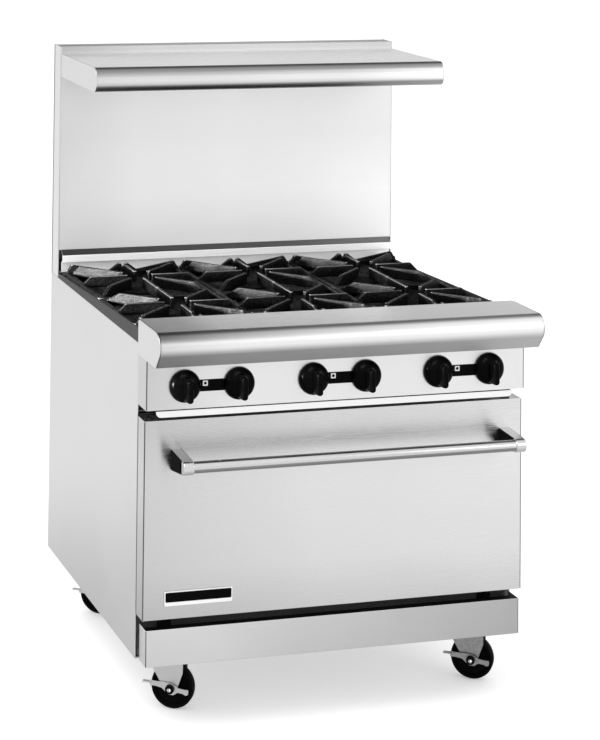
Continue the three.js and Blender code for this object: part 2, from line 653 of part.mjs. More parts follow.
range.add(
  piece('rear_panel', rearPanel(), ALUMINISED),
  piece('base_frame', baseFrame(), ALUMINISED),
  piece('kick_plate', kickPlate(), STEEL),
  piece('control_panel', controlPanel(), STEEL),
  piece('front_rail', frontRail(), STEEL),
  piece('gas_manifold', gasManifold(), DARK_SHEET),
  piece('burner_box', burnerBox(), DARK_SHEET),
  piece('crumb_tray', crumbTray(), STEEL),
  piece('riser_trim', riserTrim(), STEEL),
  piece('backguard_panel', backguardPanel(), STEEL),
  piece('backguard_rear_cover', backguardRearCover(), ALUMINISED),
  piece('high_shelf', highShelf(), STEEL),
  piece('oven_liner', ovenLiner(), ENAMEL),
  piece('oven_rack', ovenRack(), CHROME),
  piece('oven_deck', ovenDeck(), ENAMEL),
  piece('oven_burner', ovenBurner(), DARK_SHEET),
  piece('flue_riser', flueRiser(), ALUMINISED),
  piece('door_skin', doorSkin(), STEEL),
  piece('door_liner', doorLiner(), ENAMEL),
  piece('handle_tube', handleTube(), STEEL),
  piece('badge_plate', badgePlate(), BADGE_PLATE),
);

for (const { name, x } of knobPlaces()) {
  range.add(placed(x, PANEL.face, KNOB.z, 0, piece(name, knobBody(), KNOB_BLACK)));
}

for (const [column, c] of COLUMNS) {
  for (const [row, r] of ROWS) {
    const tubeX = knobX(c, r) - burnerX(c);
    const burner = burnerBody(tubeX, BURNER.mouthY - burnerY(r));
    range.add(placed(burnerX(c), burnerY(r), 0, 0, piece(`burner_${row}_${column}`, burner, IRON)));
    range.add(placed(burnerX(c), burnerY(r), 0, 0, piece(`grate_${row}_${column}`, grateBody(), IRON)));
  }
}

for (const [name, side] of SIDES) {
  range.add(caster(`front_${name}`, side * CASTER.x, CASTER.frontY));
  range.add(caster(`rear_${name}`, side * CASTER.x, CASTER.rearY));
}

export default range;
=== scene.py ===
"""Looks of a commercial gas range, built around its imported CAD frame. Metres, +Z up, the front faces -Y."""
import json
import math

import bmesh
import bpy
from mathutils import Matrix, Vector


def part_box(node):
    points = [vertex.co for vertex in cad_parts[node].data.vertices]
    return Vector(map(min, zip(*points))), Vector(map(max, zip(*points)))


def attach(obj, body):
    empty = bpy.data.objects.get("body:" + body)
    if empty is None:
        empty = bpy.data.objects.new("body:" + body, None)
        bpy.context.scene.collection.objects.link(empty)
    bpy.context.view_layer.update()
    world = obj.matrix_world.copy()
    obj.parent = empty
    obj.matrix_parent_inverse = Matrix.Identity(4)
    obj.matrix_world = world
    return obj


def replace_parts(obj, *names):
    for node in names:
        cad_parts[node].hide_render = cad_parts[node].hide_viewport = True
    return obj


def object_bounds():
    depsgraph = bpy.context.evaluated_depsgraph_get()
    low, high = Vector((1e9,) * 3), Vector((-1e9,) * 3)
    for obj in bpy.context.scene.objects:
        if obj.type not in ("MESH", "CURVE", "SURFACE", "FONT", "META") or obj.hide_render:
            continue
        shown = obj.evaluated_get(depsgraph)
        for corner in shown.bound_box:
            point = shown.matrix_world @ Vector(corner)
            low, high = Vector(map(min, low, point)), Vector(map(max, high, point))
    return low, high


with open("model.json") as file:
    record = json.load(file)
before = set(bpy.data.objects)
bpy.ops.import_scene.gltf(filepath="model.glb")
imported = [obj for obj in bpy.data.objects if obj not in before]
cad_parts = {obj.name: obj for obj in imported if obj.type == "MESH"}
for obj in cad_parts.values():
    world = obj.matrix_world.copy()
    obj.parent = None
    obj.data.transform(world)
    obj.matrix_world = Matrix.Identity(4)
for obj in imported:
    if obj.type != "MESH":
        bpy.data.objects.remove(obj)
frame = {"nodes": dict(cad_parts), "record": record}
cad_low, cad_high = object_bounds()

MM = 0.001
BODY_OF = {node: body for body, nodes in frame["record"]["behaviour"]["bodies"].items() for node in nodes}
SLOT_OF = {part["node"]: part["material_slot"] for part in frame["record"]["subparts"]}
COLUMNS = ("left", "centre", "right")
ROWS = ("front", "back")
SIDES = ("left", "right")
CORNERS = ("front_left", "front_right", "rear_left", "rear_right")
ORIGIN = Vector((0, 0, 0))


# ---------------------------------------------------------------- node trees

class Graph:
    """A node tree, and short calls that add the nodes it needs."""

    def __init__(self, tree):
        self.tree = tree

    def node(self, kind, **settings):
        made = self.tree.nodes.new(kind)
        for key, value in settings.items():
            setattr(made, key, value)
        return made

    def link(self, output, socket):
        self.tree.links.new(output, socket)

    def feed(self, socket, value):
        """Links an output to a socket, or gives the socket a plain number or colour."""
        if isinstance(value, bpy.types.NodeSocket):
            self.link(value, socket)
        else:
            socket.default_value = (*value, 1) if isinstance(value, tuple) and len(value) == 3 else value

    def split(self, vector):
        """The X, Y and Z of a vector."""
        made = self.node("ShaderNodeSeparateXYZ")
        self.link(vector, made.inputs[0])
        return made.outputs

    def combine(self, first, second, operation="ADD"):
        """Arithmetic on two values, each a number or an output."""
        made = self.node("ShaderNodeMath", operation=operation)
        for socket, value in zip(made.inputs, (first, second)):
            self.feed(socket, value)
        return made.outputs[0]

    def mix(self, factor, first, second):
        """A colour between two colours."""
        made = self.node("ShaderNodeMix", data_type="RGBA")
        for label, value in (("Factor", factor), ("A", first), ("B", second)):
            self.feed(made.inputs[label], value)
        return made.outputs["Result"]

    def ramp(self, source, stops):
        """A grey that runs through stops of (position, value), with positions from 0 to 1."""
        made = self.node("ShaderNodeValToRGB")
        self.link(source, made.inputs[0])
        elements = made.color_ramp.elements
        while len(elements) < len(stops):
            elements.new(0.5)
        for element, (place, value) in zip(elements, stops):
            element.position = place
            element.color = (value, value, value, 1)
        return made.outputs[0]


class Shader(Graph):
    """A node material with a Principled surface."""

    NOISE_SPAN = (0.3, 0.7)  # noise mostly stays in here, so this much of it takes up a finish's full range

    def __init__(self, name, **inputs):
        self.material = bpy.data.materials.new(name)
        self.material.use_nodes = True
        super().__init__(self.material.node_tree)
        self.surface = self.tree.nodes["Principled BSDF"]
        self.place = self.node("ShaderNodeTexCoord").outputs["Object"]
        for label, value in inputs.items():
            self.set(label.replace("_", " ").title().replace("Ior", "IOR"), value)

    def set(self, label, value):
        self.feed(self.surface.inputs[label], value)

    def noise(self, scale, detail=4.0, roughness=0.55):
        """Noise between 0 and 1. scale is in cycles per metre, one number or one each along x, y and z."""
        mapping = self.node("ShaderNodeMapping")
        mapping.inputs["Scale"].default_value = scale if isinstance(scale, tuple) else (scale,) * 3
        self.link(self.place, mapping.inputs["Vector"])
        made = self.node("ShaderNodeTexNoise")
        made.inputs["Scale"].default_value = 1.0
        made.inputs["Detail"].default_value = detail
        made.inputs["Roughness"].default_value = roughness
        self.link(mapping.outputs["Vector"], made.inputs["Vector"])
        return made.outputs["Fac"]

    def cells(self, scale):
        made = self.node("ShaderNodeTexVoronoi")
        made.inputs["Scale"].default_value = scale
        self.link(self.place, made.inputs["Vector"])
        return made.outputs["Distance"]

    def spread(self, value, low, high, start=NOISE_SPAN[0], end=NOISE_SPAN[1]):
        """Maps start..end of a value to low..high, clamped."""
        made = self.node("ShaderNodeMapRange")
        self.link(value, made.inputs["Value"])
        for label, number in (("From Min", start), ("From Max", end), ("To Min", low), ("To Max", high)):
            made.inputs[label].default_value = number
        return made.outputs["Result"]

    def sway(self, noise, reach):
        """Noise spread evenly about zero."""
        return self.spread(noise, -reach, reach)

    def multiply(self, colour, amount):
        made = self.node("ShaderNodeVectorMath", operation="SCALE")
        self.link(colour, made.inputs[0])
        self.link(amount, made.inputs["Scale"])
        return made.outputs[0]

    def along(self, axis, stops):
        """A value that runs through stops of (position, value) along an object axis."""
        start, end = stops[0][0], stops[-1][0]
        share = self.spread(self.split(self.place)[axis], 0.0, 1.0, start, end)
        return self.ramp(share, [((place - start) / (end - start), value) for place, value in stops])

    def bump(self, height, distance):
        made = self.node("ShaderNodeBump")
        made.inputs["Distance"].default_value = distance
        made.inputs["Strength"].default_value = 1.0
        self.link(height, made.inputs["Height"])
        self.set("Normal", made.outputs["Normal"])


# ---------------------------------------------------------------- finishes

def grey(value, warm=0.0):
    return (value * (1 + warm), value, value * (1 - warm))


def lighter(colour, times):
    return tuple(channel * times for channel in colour)


LEFT, RIGHT = -0.46, 0.46
REFLECTION_BLEND_ACROSS = ((LEFT, 0.0), (-0.2, 0.45), (0.2, 0.9), (RIGHT, 1.0))
STREAK_LENGTHWISE, STREAK_ACROSS = 9, 1100
WIPE_PATCHES = (2.3, 2.3, 3.1)
QUARTER_TURN = 0.25


def brushed(name, along, tone, roughness, depth=0.012 * MM, metallic=1.0, fine=STREAK_ACROSS, painted_light_fades=(),
            painted_reflection_bands=None, drawn=0.0):
    """Brushed stainless sheet: fine streaks along one axis, with faint broad patches of wiping.
    Each fade is (axis, stops), and its stops of (position, share) scale the tone along that axis: painted
    light and shade. The bands are such stops over z, at the left end and at the right end: painted
    reflections.
    drawn stretches what the sheet mirrors."""
    shader = Shader(name, metallic=metallic)
    if drawn:
        tangent = shader.node("ShaderNodeCombineXYZ")
        tangent.inputs["X"].default_value = 1.0
        shader.set("Tangent", tangent.outputs[0])
        shader.set("Anisotropic", drawn)
        shader.set("Anisotropic Rotation", QUARTER_TURN)
    scale = tuple(STREAK_LENGTHWISE if axis == along else fine for axis in "xyz")
    streaks = shader.noise(scale, detail=3.0, roughness=0.7)
    patches = shader.noise(WIPE_PATCHES, detail=3.0)
    shade = shader.combine(shader.sway(streaks, 0.5), shader.sway(patches, 0.6))
    colour = shader.mix(shader.spread(shade, 0, 1, -1, 1), grey(tone * 0.94), grey(tone * 1.03))
    # Fades and bands are painted light: shade, sheen and reflections laid into the tone.
    for axis, stops in painted_light_fades:
        colour = shader.multiply(colour, shader.along(axis, stops))
    if painted_reflection_bands:
        left, right = (shader.along("Z", stops) for stops in painted_reflection_bands)
        colour = shader.multiply(colour, shader.mix(shader.along("X", REFLECTION_BLEND_ACROSS), left, right))
    shader.set("Base Color", colour)
    rough = shader.combine(shader.sway(streaks, 0.05), shader.sway(patches, 0.03))
    shader.set("Roughness", shader.combine(rough, roughness))
    shader.bump(streaks, depth)
    return shader.material


def painted(name, colour, roughness, wear=0.25, specular=0.5):
    """Smooth dark finish with a slight orange-peel surface and dusty variation."""
    shader = Shader(name, specular_ior_level=specular)
    dust = shader.noise(14, detail=6.0, roughness=0.65)
    peel = shader.noise(420, detail=2.0)
    dusty = shader.spread(dust, 0, 1, 0.35, 0.7)
    shader.set("Base Color", shader.mix(dusty, colour, lighter(colour, 1 + wear)))
    shader.set("Roughness", shader.spread(dust, roughness - 0.06, roughness + 0.08))
    shader.bump(peel, 0.02 * MM)
    return shader.material


def cast_iron(name, colour, edge, roughness, specular, wear_and_highlight=(0.55, 0.66)):
    """Sand-cast iron: a matt black grainy skin with pits, and lighter metal on edges that look up: partly
    wear, partly a painted highlight. The last argument is the range of pointiness over which the skin gives
    way on faces that look up."""
    shader = Shader(name)
    sand = shader.noise(330, detail=5.0, roughness=0.8)
    lumps = shader.noise(90)
    geometry = shader.node("ShaderNodeNewGeometry")
    upward = shader.split(geometry.outputs["Normal"])["Z"]
    # Lighter where sharp and facing up: part wear, part painted highlight.
    bare_and_highlit = shader.combine(shader.spread(geometry.outputs["Pointiness"], 0, 1, *wear_and_highlight),
                          shader.spread(upward, 0, 1, 0.1, 0.5), "MULTIPLY")
    speck = shader.spread(sand, 0.35, 1.9, 0.38, 0.62)
    skin = shader.multiply(shader.mix(lumps, colour, lighter(colour, 1.5)), speck)
    shader.set("Base Color", shader.mix(bare_and_highlit, skin, edge))
    shader.set("Roughness", shader.spread(lumps, roughness - 0.12, roughness + 0.1))
    shader.set("Specular IOR Level", shader.spread(sand, 0.0, specular * 3.0, 0.42, 0.6))
    shader.bump(shader.combine(sand, shader.combine(lumps, 0.6, "MULTIPLY")), 0.5 * MM)
    return shader.material


def moulded(name, colour, roughness, specular):
    """Moulded plastic with a barely uneven skin."""
    shader = Shader(name, specular_ior_level=specular)
    dust = shader.noise(60, detail=5.0)
    shader.set("Base Color", shader.mix(shader.spread(dust, 0, 1, 0.4, 0.75), colour, lighter(colour, 1.8)))
    shader.set("Roughness", shader.spread(dust, roughness - 0.03, roughness + 0.06))
    shader.bump(dust, 0.01 * MM)
    return shader.material


def plated(name, tone, roughness, spangle=0.0):
    """Zinc plate, aluminised sheet or chrome: even metal with small crystals and light smudges."""
    shader = Shader(name, metallic=1.0)
    smudge = shader.noise(24, detail=5.0)
    crystal = shader.spread(shader.cells(160), -spangle, spangle, 0.1, 0.8)
    shade = shader.combine(crystal, shader.sway(smudge, 0.3))
    shader.set("Base Color", shader.mix(shader.spread(shade, 0, 1, -1, 1), grey(tone * 0.86), grey(tone)))
    shader.set("Roughness", shader.spread(shade, roughness + 0.06, roughness - 0.06, -0.6, 0.6))
    shader.bump(smudge, 0.015 * MM)
    return shader.material


def enamel(name, colour, fleck):
    """Porcelain enamel: glossy coat over a dark ground with pale flecks."""
    shader = Shader(name, coat_weight=0.8, coat_roughness=0.08, roughness=0.35)
    shader.set("Base Color", shader.mix(shader.spread(shader.cells(260), 1, 0, 0.05, 0.14), colour, fleck))
    shader.bump(shader.noise(40, detail=2.0), 0.05 * MM)
    return shader.material


def across(*stops):
    """A fade of painted light and shade over x, from the left end of the range to the right."""
    return "X", stops


def upwards(*stops):
    """A fade of painted light and shade over z."""
    return "Z", stops


def measured(start, *stops):
    """Stops whose positions are given in millimetres from a start."""
    return [(start + at * MM, share) for at, share in stops]


SHELF_TOP, SHELF_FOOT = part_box("high_shelf")[1].z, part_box("high_shelf")[0].z
RAIL_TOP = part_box("front_rail")[1].z
TUBE_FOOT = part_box("handle_tube")[0].z

# Painted reflections: tone shares over z, in mm from a top or a foot, for the rail's nose at its left and
# right ends, the shelf's nose and the handle tube.
RAIL_REFLECTION_LEFT = measured(RAIL_TOP, (-50, 0.48), (-43, 0.65), (-32, 0.96), (-21, 0.94), (-15, 0.44), (-10, 0.25),
                     (-6, 0.25), (-1, 0.18), (0, 0.15))
RAIL_REFLECTION_RIGHT = measured(RAIL_TOP, (-50, 0.62), (-43, 0.76), (-32, 1.0), (-12, 1.0), (-7, 1.0), (-3, 0.9),
                      (0, 0.7))
SHELF_REFLECTION_BANDS = (measured(SHELF_FOOT, (0, 0.5), (13, 0.4), (18, 0.85), (26, 1.05))
               + measured(SHELF_TOP, (-24, 1.0), (-16, 0.6), (-10, 0.42), (0, 0.3)))
TUBE_REFLECTION_BANDS = measured(TUBE_FOOT, (0, 0.6), (4, 0.42), (10.5, 0.45), (12, 0.88), (22, 0.9), (23.5, 0.35),
                      (25.4, 0.2))

STEEL_X = brushed("steel_brushed_across", "x", tone=0.66, roughness=0.34)
# Painted sheen: darker towards the door's left end, and towards its top and its foot.
STEEL_DOOR = brushed(
    "steel_door", "x", tone=0.83, roughness=0.25, depth=0.006 * MM, drawn=0.9,
    painted_light_fades=[across((LEFT, 0.84), (-0.05, 1.0)), upwards((0.25, 0.87), (0.36, 1.0), (0.56, 1.0), (0.69, 0.88))],
)
STEEL_TRAY = brushed("steel_tray", "x", tone=0.98, roughness=0.34)
# Painted shade: darker towards the panel's left end.
STEEL_PANEL = brushed(
    "steel_panel", "x", tone=0.86, roughness=0.34,
    painted_light_fades=[across((LEFT, 0.76), (-0.25, 1.0))],
)
# Painted shade: darker towards the kick plate's right end.
STEEL_KICK = brushed(
    "steel_kick", "x", tone=0.82, roughness=0.42,
    painted_light_fades=[across((-0.3, 1.0), (RIGHT, 0.66))],
)
# Painted shade: the rail's top grows much darker towards its left end.
STEEL_RAIL_TOP = brushed(
    "steel_rail_top", "x", tone=0.7, roughness=0.3,
    painted_light_fades=[across((LEFT, 0.28), (-0.38, 0.36), (-0.3, 0.7), (0.0, 0.88), (RIGHT, 1.05))],
)
# Painted reflections: light and dark bands over the nose's height, and darker towards the left end.
STEEL_RAIL = brushed(
    "steel_rail_nose", "x", tone=0.94, roughness=0.34, painted_reflection_bands=(RAIL_REFLECTION_LEFT, RAIL_REFLECTION_RIGHT),
    painted_light_fades=[across((LEFT, 0.8), (-0.3, 1.0), (0.0, 0.98))],
)
STEEL_CAP = brushed("steel_cap", "z", tone=0.75, roughness=0.3)
# Painted shade and light: darker towards the left end, a little lighter low down, and a dark band along the
# top edge.
STEEL_GUARD = brushed(
    "steel_guard", "x", tone=0.8, roughness=0.42, metallic=0.25,
    painted_light_fades=[
        across((LEFT, 0.67), (-0.25, 0.87), (0.0, 0.94), (0.4, 0.92)),
        upwards((0.92, 1.1), (1.05, 1.1), (1.2, 0.96), (1.40, 0.96), (1.425, 0.62)),
    ],
)
STEEL_GUARD_SIDE = brushed("steel_guard_side", "z", tone=0.92, roughness=0.5)
STEEL_LAP = brushed("steel_lap", "z", tone=0.3, roughness=0.5)
# Painted light: its fade lifts the riser's tone by about a third, slightly more at the left end.
STEEL_RISER = brushed(
    "steel_riser", "x", tone=0.7, roughness=0.34, metallic=0.3, fine=420,
    painted_light_fades=[across((LEFT, 1.35), (0.3, 1.3))],
)
# Painted reflection: the sloping lip is near black, growing lighter towards the right end.
STEEL_RISER_LIP_PAINTED_REFLECTION = brushed(
    "steel_riser_lip_painted_reflection", "x", tone=0.09, roughness=0.5, metallic=0.8, fine=420,
    painted_light_fades=[across((LEFT, 0.7), (RIGHT, 2.4))],
)
STEEL_SHELF_TOP = brushed("steel_shelf_top", "x", tone=0.91, roughness=0.3)
# Painted reflections: light and dark bands over the nose's height, lighter towards the right end.
STEEL_SHELF = brushed(
    "steel_shelf_nose", "x", tone=0.78, roughness=0.38,
    painted_light_fades=[across((LEFT, 0.88), (-0.3, 0.96), (0.2, 1.0), (RIGHT, 1.25)), upwards(*SHELF_REFLECTION_BANDS)],
)
STEEL_SIDE = brushed("steel_side", "z", tone=0.77, roughness=0.36)
# Painted reflections: light and dark bands over the tube's height.
STEEL_TUBE = brushed(
    "steel_tube", "x", tone=0.76, roughness=0.2, depth=0.004 * MM,
    painted_light_fades=[upwards(*TUBE_REFLECTION_BANDS)],
)
STEEL_BRACKET = brushed("steel_bracket", "x", tone=0.5, roughness=0.4)
STEEL_BRIGHT = brushed("steel_polished", "x", tone=0.7, roughness=0.16, depth=0.004 * MM)
# Real black sheet, also laid on the kick plate's top as painted shade in the gap under the door.
BLACK_SHEET_AND_SHADE = painted("black_sheet_and_painted_shade", grey(0.003), roughness=0.5, specular=0.06)
BLACK_STRIP = painted("black_strip", grey(0.045), roughness=0.5, specular=0.2)
BLACK_LABEL = painted("black_label", grey(0.002), roughness=0.4, wear=0.1, specular=0.03)
BLACK_CAP = painted("black_end_cap", grey(0.002), roughness=0.6, wear=0.1, specular=0.03)
WHITE_PRINT = painted("white_print", grey(0.85), roughness=0.45, wear=0.02)
# Painted shade: a near-black finish laid on folded edges, standing for the dark line along each fold.
PAINTED_SHADE_EDGE = painted("painted_shade_edge", grey(0.06), roughness=0.5)
# The grate's upward edges lighten to mid grey: part wear, part painted highlight.
IRON_GRATE = cast_iron(
    "grate_cast_iron", grey(0.0015), edge=grey(0.5), roughness=0.5, specular=0.09, wear_and_highlight=(0.54, 0.6),
)
IRON_BURNER = cast_iron(
    "burner_cast_iron", grey(0.0015, warm=0.05), edge=grey(0.02), roughness=0.7, specular=0.02,
)
KNOB_BLACK = moulded("knob_phenolic", grey(0.0006), roughness=0.2, specular=0.03)
ZINC = plated("zinc_plate", tone=0.8, roughness=0.36, spangle=0.25)
# Painted shade: a darker, rougher copy of the same zinc, for the right-hand casters.
ZINC_SHADED = plated("zinc_plate_painted_shade", tone=0.4, roughness=0.45, spangle=1.4)
CHROME = plated("chrome_wire", tone=0.85, roughness=0.14)
ALUMINISED = plated("aluminised_sheet", tone=0.66, roughness=0.42, spangle=0.5)
BADGE_METAL = plated("badge_metal", tone=0.8, roughness=0.3)
TREAD = painted("caster_tread", grey(0.002), roughness=0.55, wear=0.2, specular=0.04)
ENAMEL = enamel("oven_enamel", grey(0.03), grey(0.25))

MATERIAL_OF_SLOT = {
    "stainless_steel": STEEL_X, "polished_steel": STEEL_BRIGHT, "aluminised_sheet": ALUMINISED,
    "dark_sheet": BLACK_SHEET_AND_SHADE, "oven_enamel": ENAMEL, "rack_wire": CHROME, "hinge_zinc": ZINC,
    "badge_metal": BADGE_METAL, "knob_plastic": KNOB_BLACK, "grate_iron": IRON_GRATE,
    "burner_iron": IRON_BURNER, "caster_zinc": ZINC, "caster_tread": TREAD,
}


# ---------------------------------------------------------------- mesh helpers

WELD = 0.01 * MM
FLAT_WITHIN = math.radians(0.4)


def to_object(name, made, material, smooth=30, bevel=0.0, segments=2):
    """Turns a bmesh into an object with rounded edges; flat faces stay flat and curved ones smooth.
    smooth is in degrees: an edge that turns by more is a sharp one."""
    bmesh.ops.recalc_face_normals(made, faces=made.faces)
    mesh = bpy.data.meshes.new(name)
    made.to_mesh(mesh)
    made.free()
    mesh.materials.append(material)
    mesh.shade_smooth()
    mesh.set_sharp_from_angle(angle=math.radians(smooth))
    obj = bpy.data.objects.new(name, mesh)
    bpy.context.scene.collection.objects.link(obj)
    if bevel:
        rounding = obj.modifiers.new("rounding", "BEVEL")
        rounding.width = bevel
        rounding.segments = segments
        rounding.limit_method = "ANGLE"
        rounding.angle_limit = math.radians(smooth)
        rounding.harden_normals = True
    return obj


def repaint(obj, material, facing, least=0.6):
    """Gives the faces that look along `facing` a finish of their own. least is how nearly: 1 is exactly."""
    obj.data.materials.append(material)
    for face in obj.data.polygons:
        if face.normal.dot(Vector(facing)) > least:
            face.material_index = len(obj.data.materials) - 1
    return obj


def rides_with(obj, node):
    """An added piece that rides with a CAD node's body."""
    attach(obj, BODY_OF[node])
    return obj


def stands_for(obj, node):
    """The object rides with a CAD node and is shown in its place."""
    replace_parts(rides_with(obj, node), node)
    return obj


def dress(node, material=None, bevel=0.8 * MM):
    """A CAD sheet piece again, with its flat faces merged and its edges rounded."""
    made = bmesh.new()
    made.from_mesh(frame["nodes"][node].data)
    bmesh.ops.remove_doubles(made, verts=made.verts, dist=WELD)
    bmesh.ops.dissolve_limit(made, angle_limit=FLAT_WITHIN, verts=made.verts, edges=made.edges)
    finish = material or MATERIAL_OF_SLOT[SLOT_OF[node]]
    return stands_for(to_object(f"{node}_sheet", made, finish, smooth=28, bevel=bevel), node)


def place_shared(name, mesh, place, node, turn=0.0):
    """Another object on a shared mesh, standing for a CAD node."""
    obj = bpy.data.objects.new(name, mesh)
    obj.location = place
    obj.rotation_euler.z = turn
    bpy.context.scene.collection.objects.link(obj)
    return stands_for(obj, node)


# ---------------------------------------------------------------- shapes

AXES = {
    "x": (Vector((0, 1, 0)), Vector((0, 0, 1)), Vector((1, 0, 0))),
    "y": (Vector((1, 0, 0)), Vector((0, 0, 1)), Vector((0, 1, 0))),
    "z": (Vector((1, 0, 0)), Vector((0, 1, 0)), Vector((0, 0, 1))),
}


def in_mm(points, lift=0.0):
    """Points given in millimetres, as metres, with the second number counted from `lift`."""
    return [(a * MM, lift + b * MM) for a, b in points]


def loft(made, rings):
    """A closed body through rings of points, with its first and last ring filled."""
    rows = [[made.verts.new(point) for point in ring] for ring in rings]
    made.faces.new(rows[0])
    made.faces.new(rows[-1][::-1])
    for near, far in zip(rows, rows[1:]):
        wall(made, near, far)


def wall(made, near, far):
    """Faces between two rings of as many vertices."""
    for i in range(len(near)):
        j = (i + 1) % len(near)
        made.faces.new((near[i], near[j], far[j], far[i]))


def prism(made, outline, axis, start, end):
    """An outline of (u, v) points, extruded along an axis."""
    u, v, w = AXES[axis]
    loft(made, [[u * a + v * b + w * at for a, b in outline] for at in (start, end)])


def block(made, x0, x1, y0, y1, z0, z1):
    prism(made, [(x0, y0), (x1, y0), (x1, y1), (x0, y1)], "z", z0, z1)


def turned(made, profile, axis, centre, segments=48, closed=False):
    """A profile of (radius, distance) points turned about an axis through a centre."""
    u, v, w = AXES[axis]
    turns = [2 * math.pi * i / segments for i in range(segments)]
    rings = []
    for radius, at in profile:
        spokes = turns if radius else turns[:1]
        ring = [centre + w * at + (u * math.cos(t) + v * math.sin(t)) * radius for t in spokes]
        rings.append([made.verts.new(point) for point in ring])
    for near, far in zip(rings, rings[1:] + rings[:1] if closed else rings[1:]):
        for i in range(segments):
            j = (i + 1) % segments
            corners = (near[i % len(near)], near[j % len(near)], far[j % len(far)], far[i % len(far)])
            made.faces.new(dict.fromkeys(corners))


def arc(u, v, radius, start, end, steps):
    angles = [math.radians(start + (end - start) * i / steps) for i in range(steps + 1)]
    return [(u + radius * math.cos(a), v + radius * math.sin(a)) for a in angles]


def rounded(u0, u1, v0, v1, radius, steps):
    """A rectangle with rounded corners, as (u, v) points."""
    corners = ((u1 - radius, v1 - radius, 0), (u0 + radius, v1 - radius, 90),
               (u0 + radius, v0 + radius, 180), (u1 - radius, v0 + radius, 270))
    return [point for u, v, start in corners for point in arc(u, v, radius, start, start + 90, steps)]


def spin(made, start, degrees):
    """Turns the vertices added since `start` about the z axis."""
    made.verts.ensure_lookup_table()
    bmesh.ops.rotate(made, verts=made.verts[start:], cent=ORIGIN,
                     matrix=Matrix.Rotation(math.radians(degrees), 3, "Z"))


# ---------------------------------------------------------------- sheet pieces kept from the CAD

SHEETS = {
    "side_panel_left": STEEL_SIDE, "side_panel_right": STEEL_SIDE, "kick_plate": STEEL_KICK,
    "control_panel": STEEL_PANEL, "crumb_tray": STEEL_TRAY, "riser_trim": STEEL_RISER,
    "backguard_panel": STEEL_GUARD, "door_skin": STEEL_DOOR, "burner_box": BLACK_SHEET_AND_SHADE,
    "rear_panel": None, "base_frame": None, "backguard_rear_cover": None, "flue_riser": None,
    "oven_liner": None, "oven_deck": None, "door_liner": None, "gas_manifold": None, "oven_burner": None,
    "hinge_bracket_left": BLACK_SHEET_AND_SHADE, "hinge_bracket_right": BLACK_SHEET_AND_SHADE,
    "hinge_pin_left": BLACK_SHEET_AND_SHADE, "hinge_pin_right": BLACK_SHEET_AND_SHADE,
}
SMALL = ("gas_manifold", "hinge_bracket_left", "hinge_bracket_right", "hinge_pin_left", "hinge_pin_right")
SMALL_BEVEL, SHEET_BEVEL = 0.5 * MM, 0.9 * MM

sheets = {
    node: dress(node, material, SMALL_BEVEL if node in SMALL else SHEET_BEVEL)
    for node, material in SHEETS.items()
}
# The kick plate's top faces take the black finish as painted shade in the gap under the door.
repaint(sheets["kick_plate"], BLACK_SHEET_AND_SHADE, (0, 0, 1))
# The riser's sloping lip takes a near-black finish: a painted reflection.
repaint(sheets["riser_trim"], STEEL_RISER_LIP_PAINTED_REFLECTION, (0, -0.3, 0.95))
repaint(sheets["backguard_panel"], STEEL_GUARD_SIDE, (-1, 0, 0))
repaint(sheets["backguard_panel"], STEEL_GUARD_SIDE, (1, 0, 0))
repaint(sheets["backguard_rear_cover"], STEEL_GUARD, (0, 0, 1))


# ---------------------------------------------------------------- front rail and high shelf

CAP = 2.5 * MM
SEAM = 1.0 * MM
SKIN = 2.5 * MM
LEVEL = 0.999  # how flat a face has to lie to take a top finish
RAIL_NOSE, RAIL_TOE, RAIL_FLANGE, RAIL_BACK = 30 * MM, 31 * MM, 70 * MM, 50 * MM
RAIL_CROWN = 8 * MM
TOE_LEAN = 1.3  # how much further the sloping underside moves back than up when the section is inset
SEAM_INSET = 1.2 * MM
SHELF_NOSE, SHELF_LIP = 20 * MM, 25 * MM


def rail_outline(inset, low, high):
    """The bullnose section in (y, z): flat top, round nose and an underside sloping back to the toe."""
    y, z = low.y + RAIL_NOSE, high.z - RAIL_NOSE
    toe = (low.y + RAIL_TOE, low.z)
    span = math.hypot(toe[0] - y, toe[1] - z)
    leave = math.degrees(math.atan2(toe[1] - z, toe[0] - y) - math.acos(RAIL_NOSE / span))
    nose = arc(y, z, RAIL_NOSE - inset, 90, leave + 360, 28)
    return [(high.y - inset, high.z - inset), *nose, (toe[0] + inset * TOE_LEAN, toe[1] + inset)]


def add_rail():
    low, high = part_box("front_rail")
    made = bmesh.new()
    section = [
        (high.y, high.z - RAIL_BACK), *rail_outline(0, low, high),
        (low.y + RAIL_FLANGE, low.z), (low.y + RAIL_FLANGE, low.z + SKIN),
        *rail_outline(SKIN, low, high)[::-1], (high.y - SKIN, high.z - RAIL_BACK),
    ]
    prism(made, section, "x", low.x + CAP + SEAM, high.x - CAP - SEAM)
    skin = to_object("rail_skin", made, STEEL_RAIL)
    stands_for(repaint(skin, STEEL_RAIL_TOP, (0, 0, 1), LEVEL), "front_rail")
    caps = bmesh.new()
    nose = rail_outline(0, low, high)[1:]
    crown = arc(high.y - RAIL_CROWN, high.z - RAIL_CROWN, RAIL_CROWN, 0, 90, 6)
    for x in (low.x, high.x - CAP):
        prism(caps, [(high.y, low.z), *crown, *nose], "x", x, x + CAP)
    rides_with(to_object("rail_end_caps", caps, STEEL_CAP, bevel=0.9 * MM, segments=3), "front_rail")
    dark = bmesh.new()
    inset = [(high.y - 2 * MM, low.z + 1 * MM), *rail_outline(SEAM_INSET, low, high)]
    for x in (low.x + CAP, high.x - CAP - SEAM):
        prism(dark, inset, "x", x, x + SEAM)
    rides_with(to_object("rail_seams", dark, BLACK_SHEET_AND_SHADE), "front_rail")


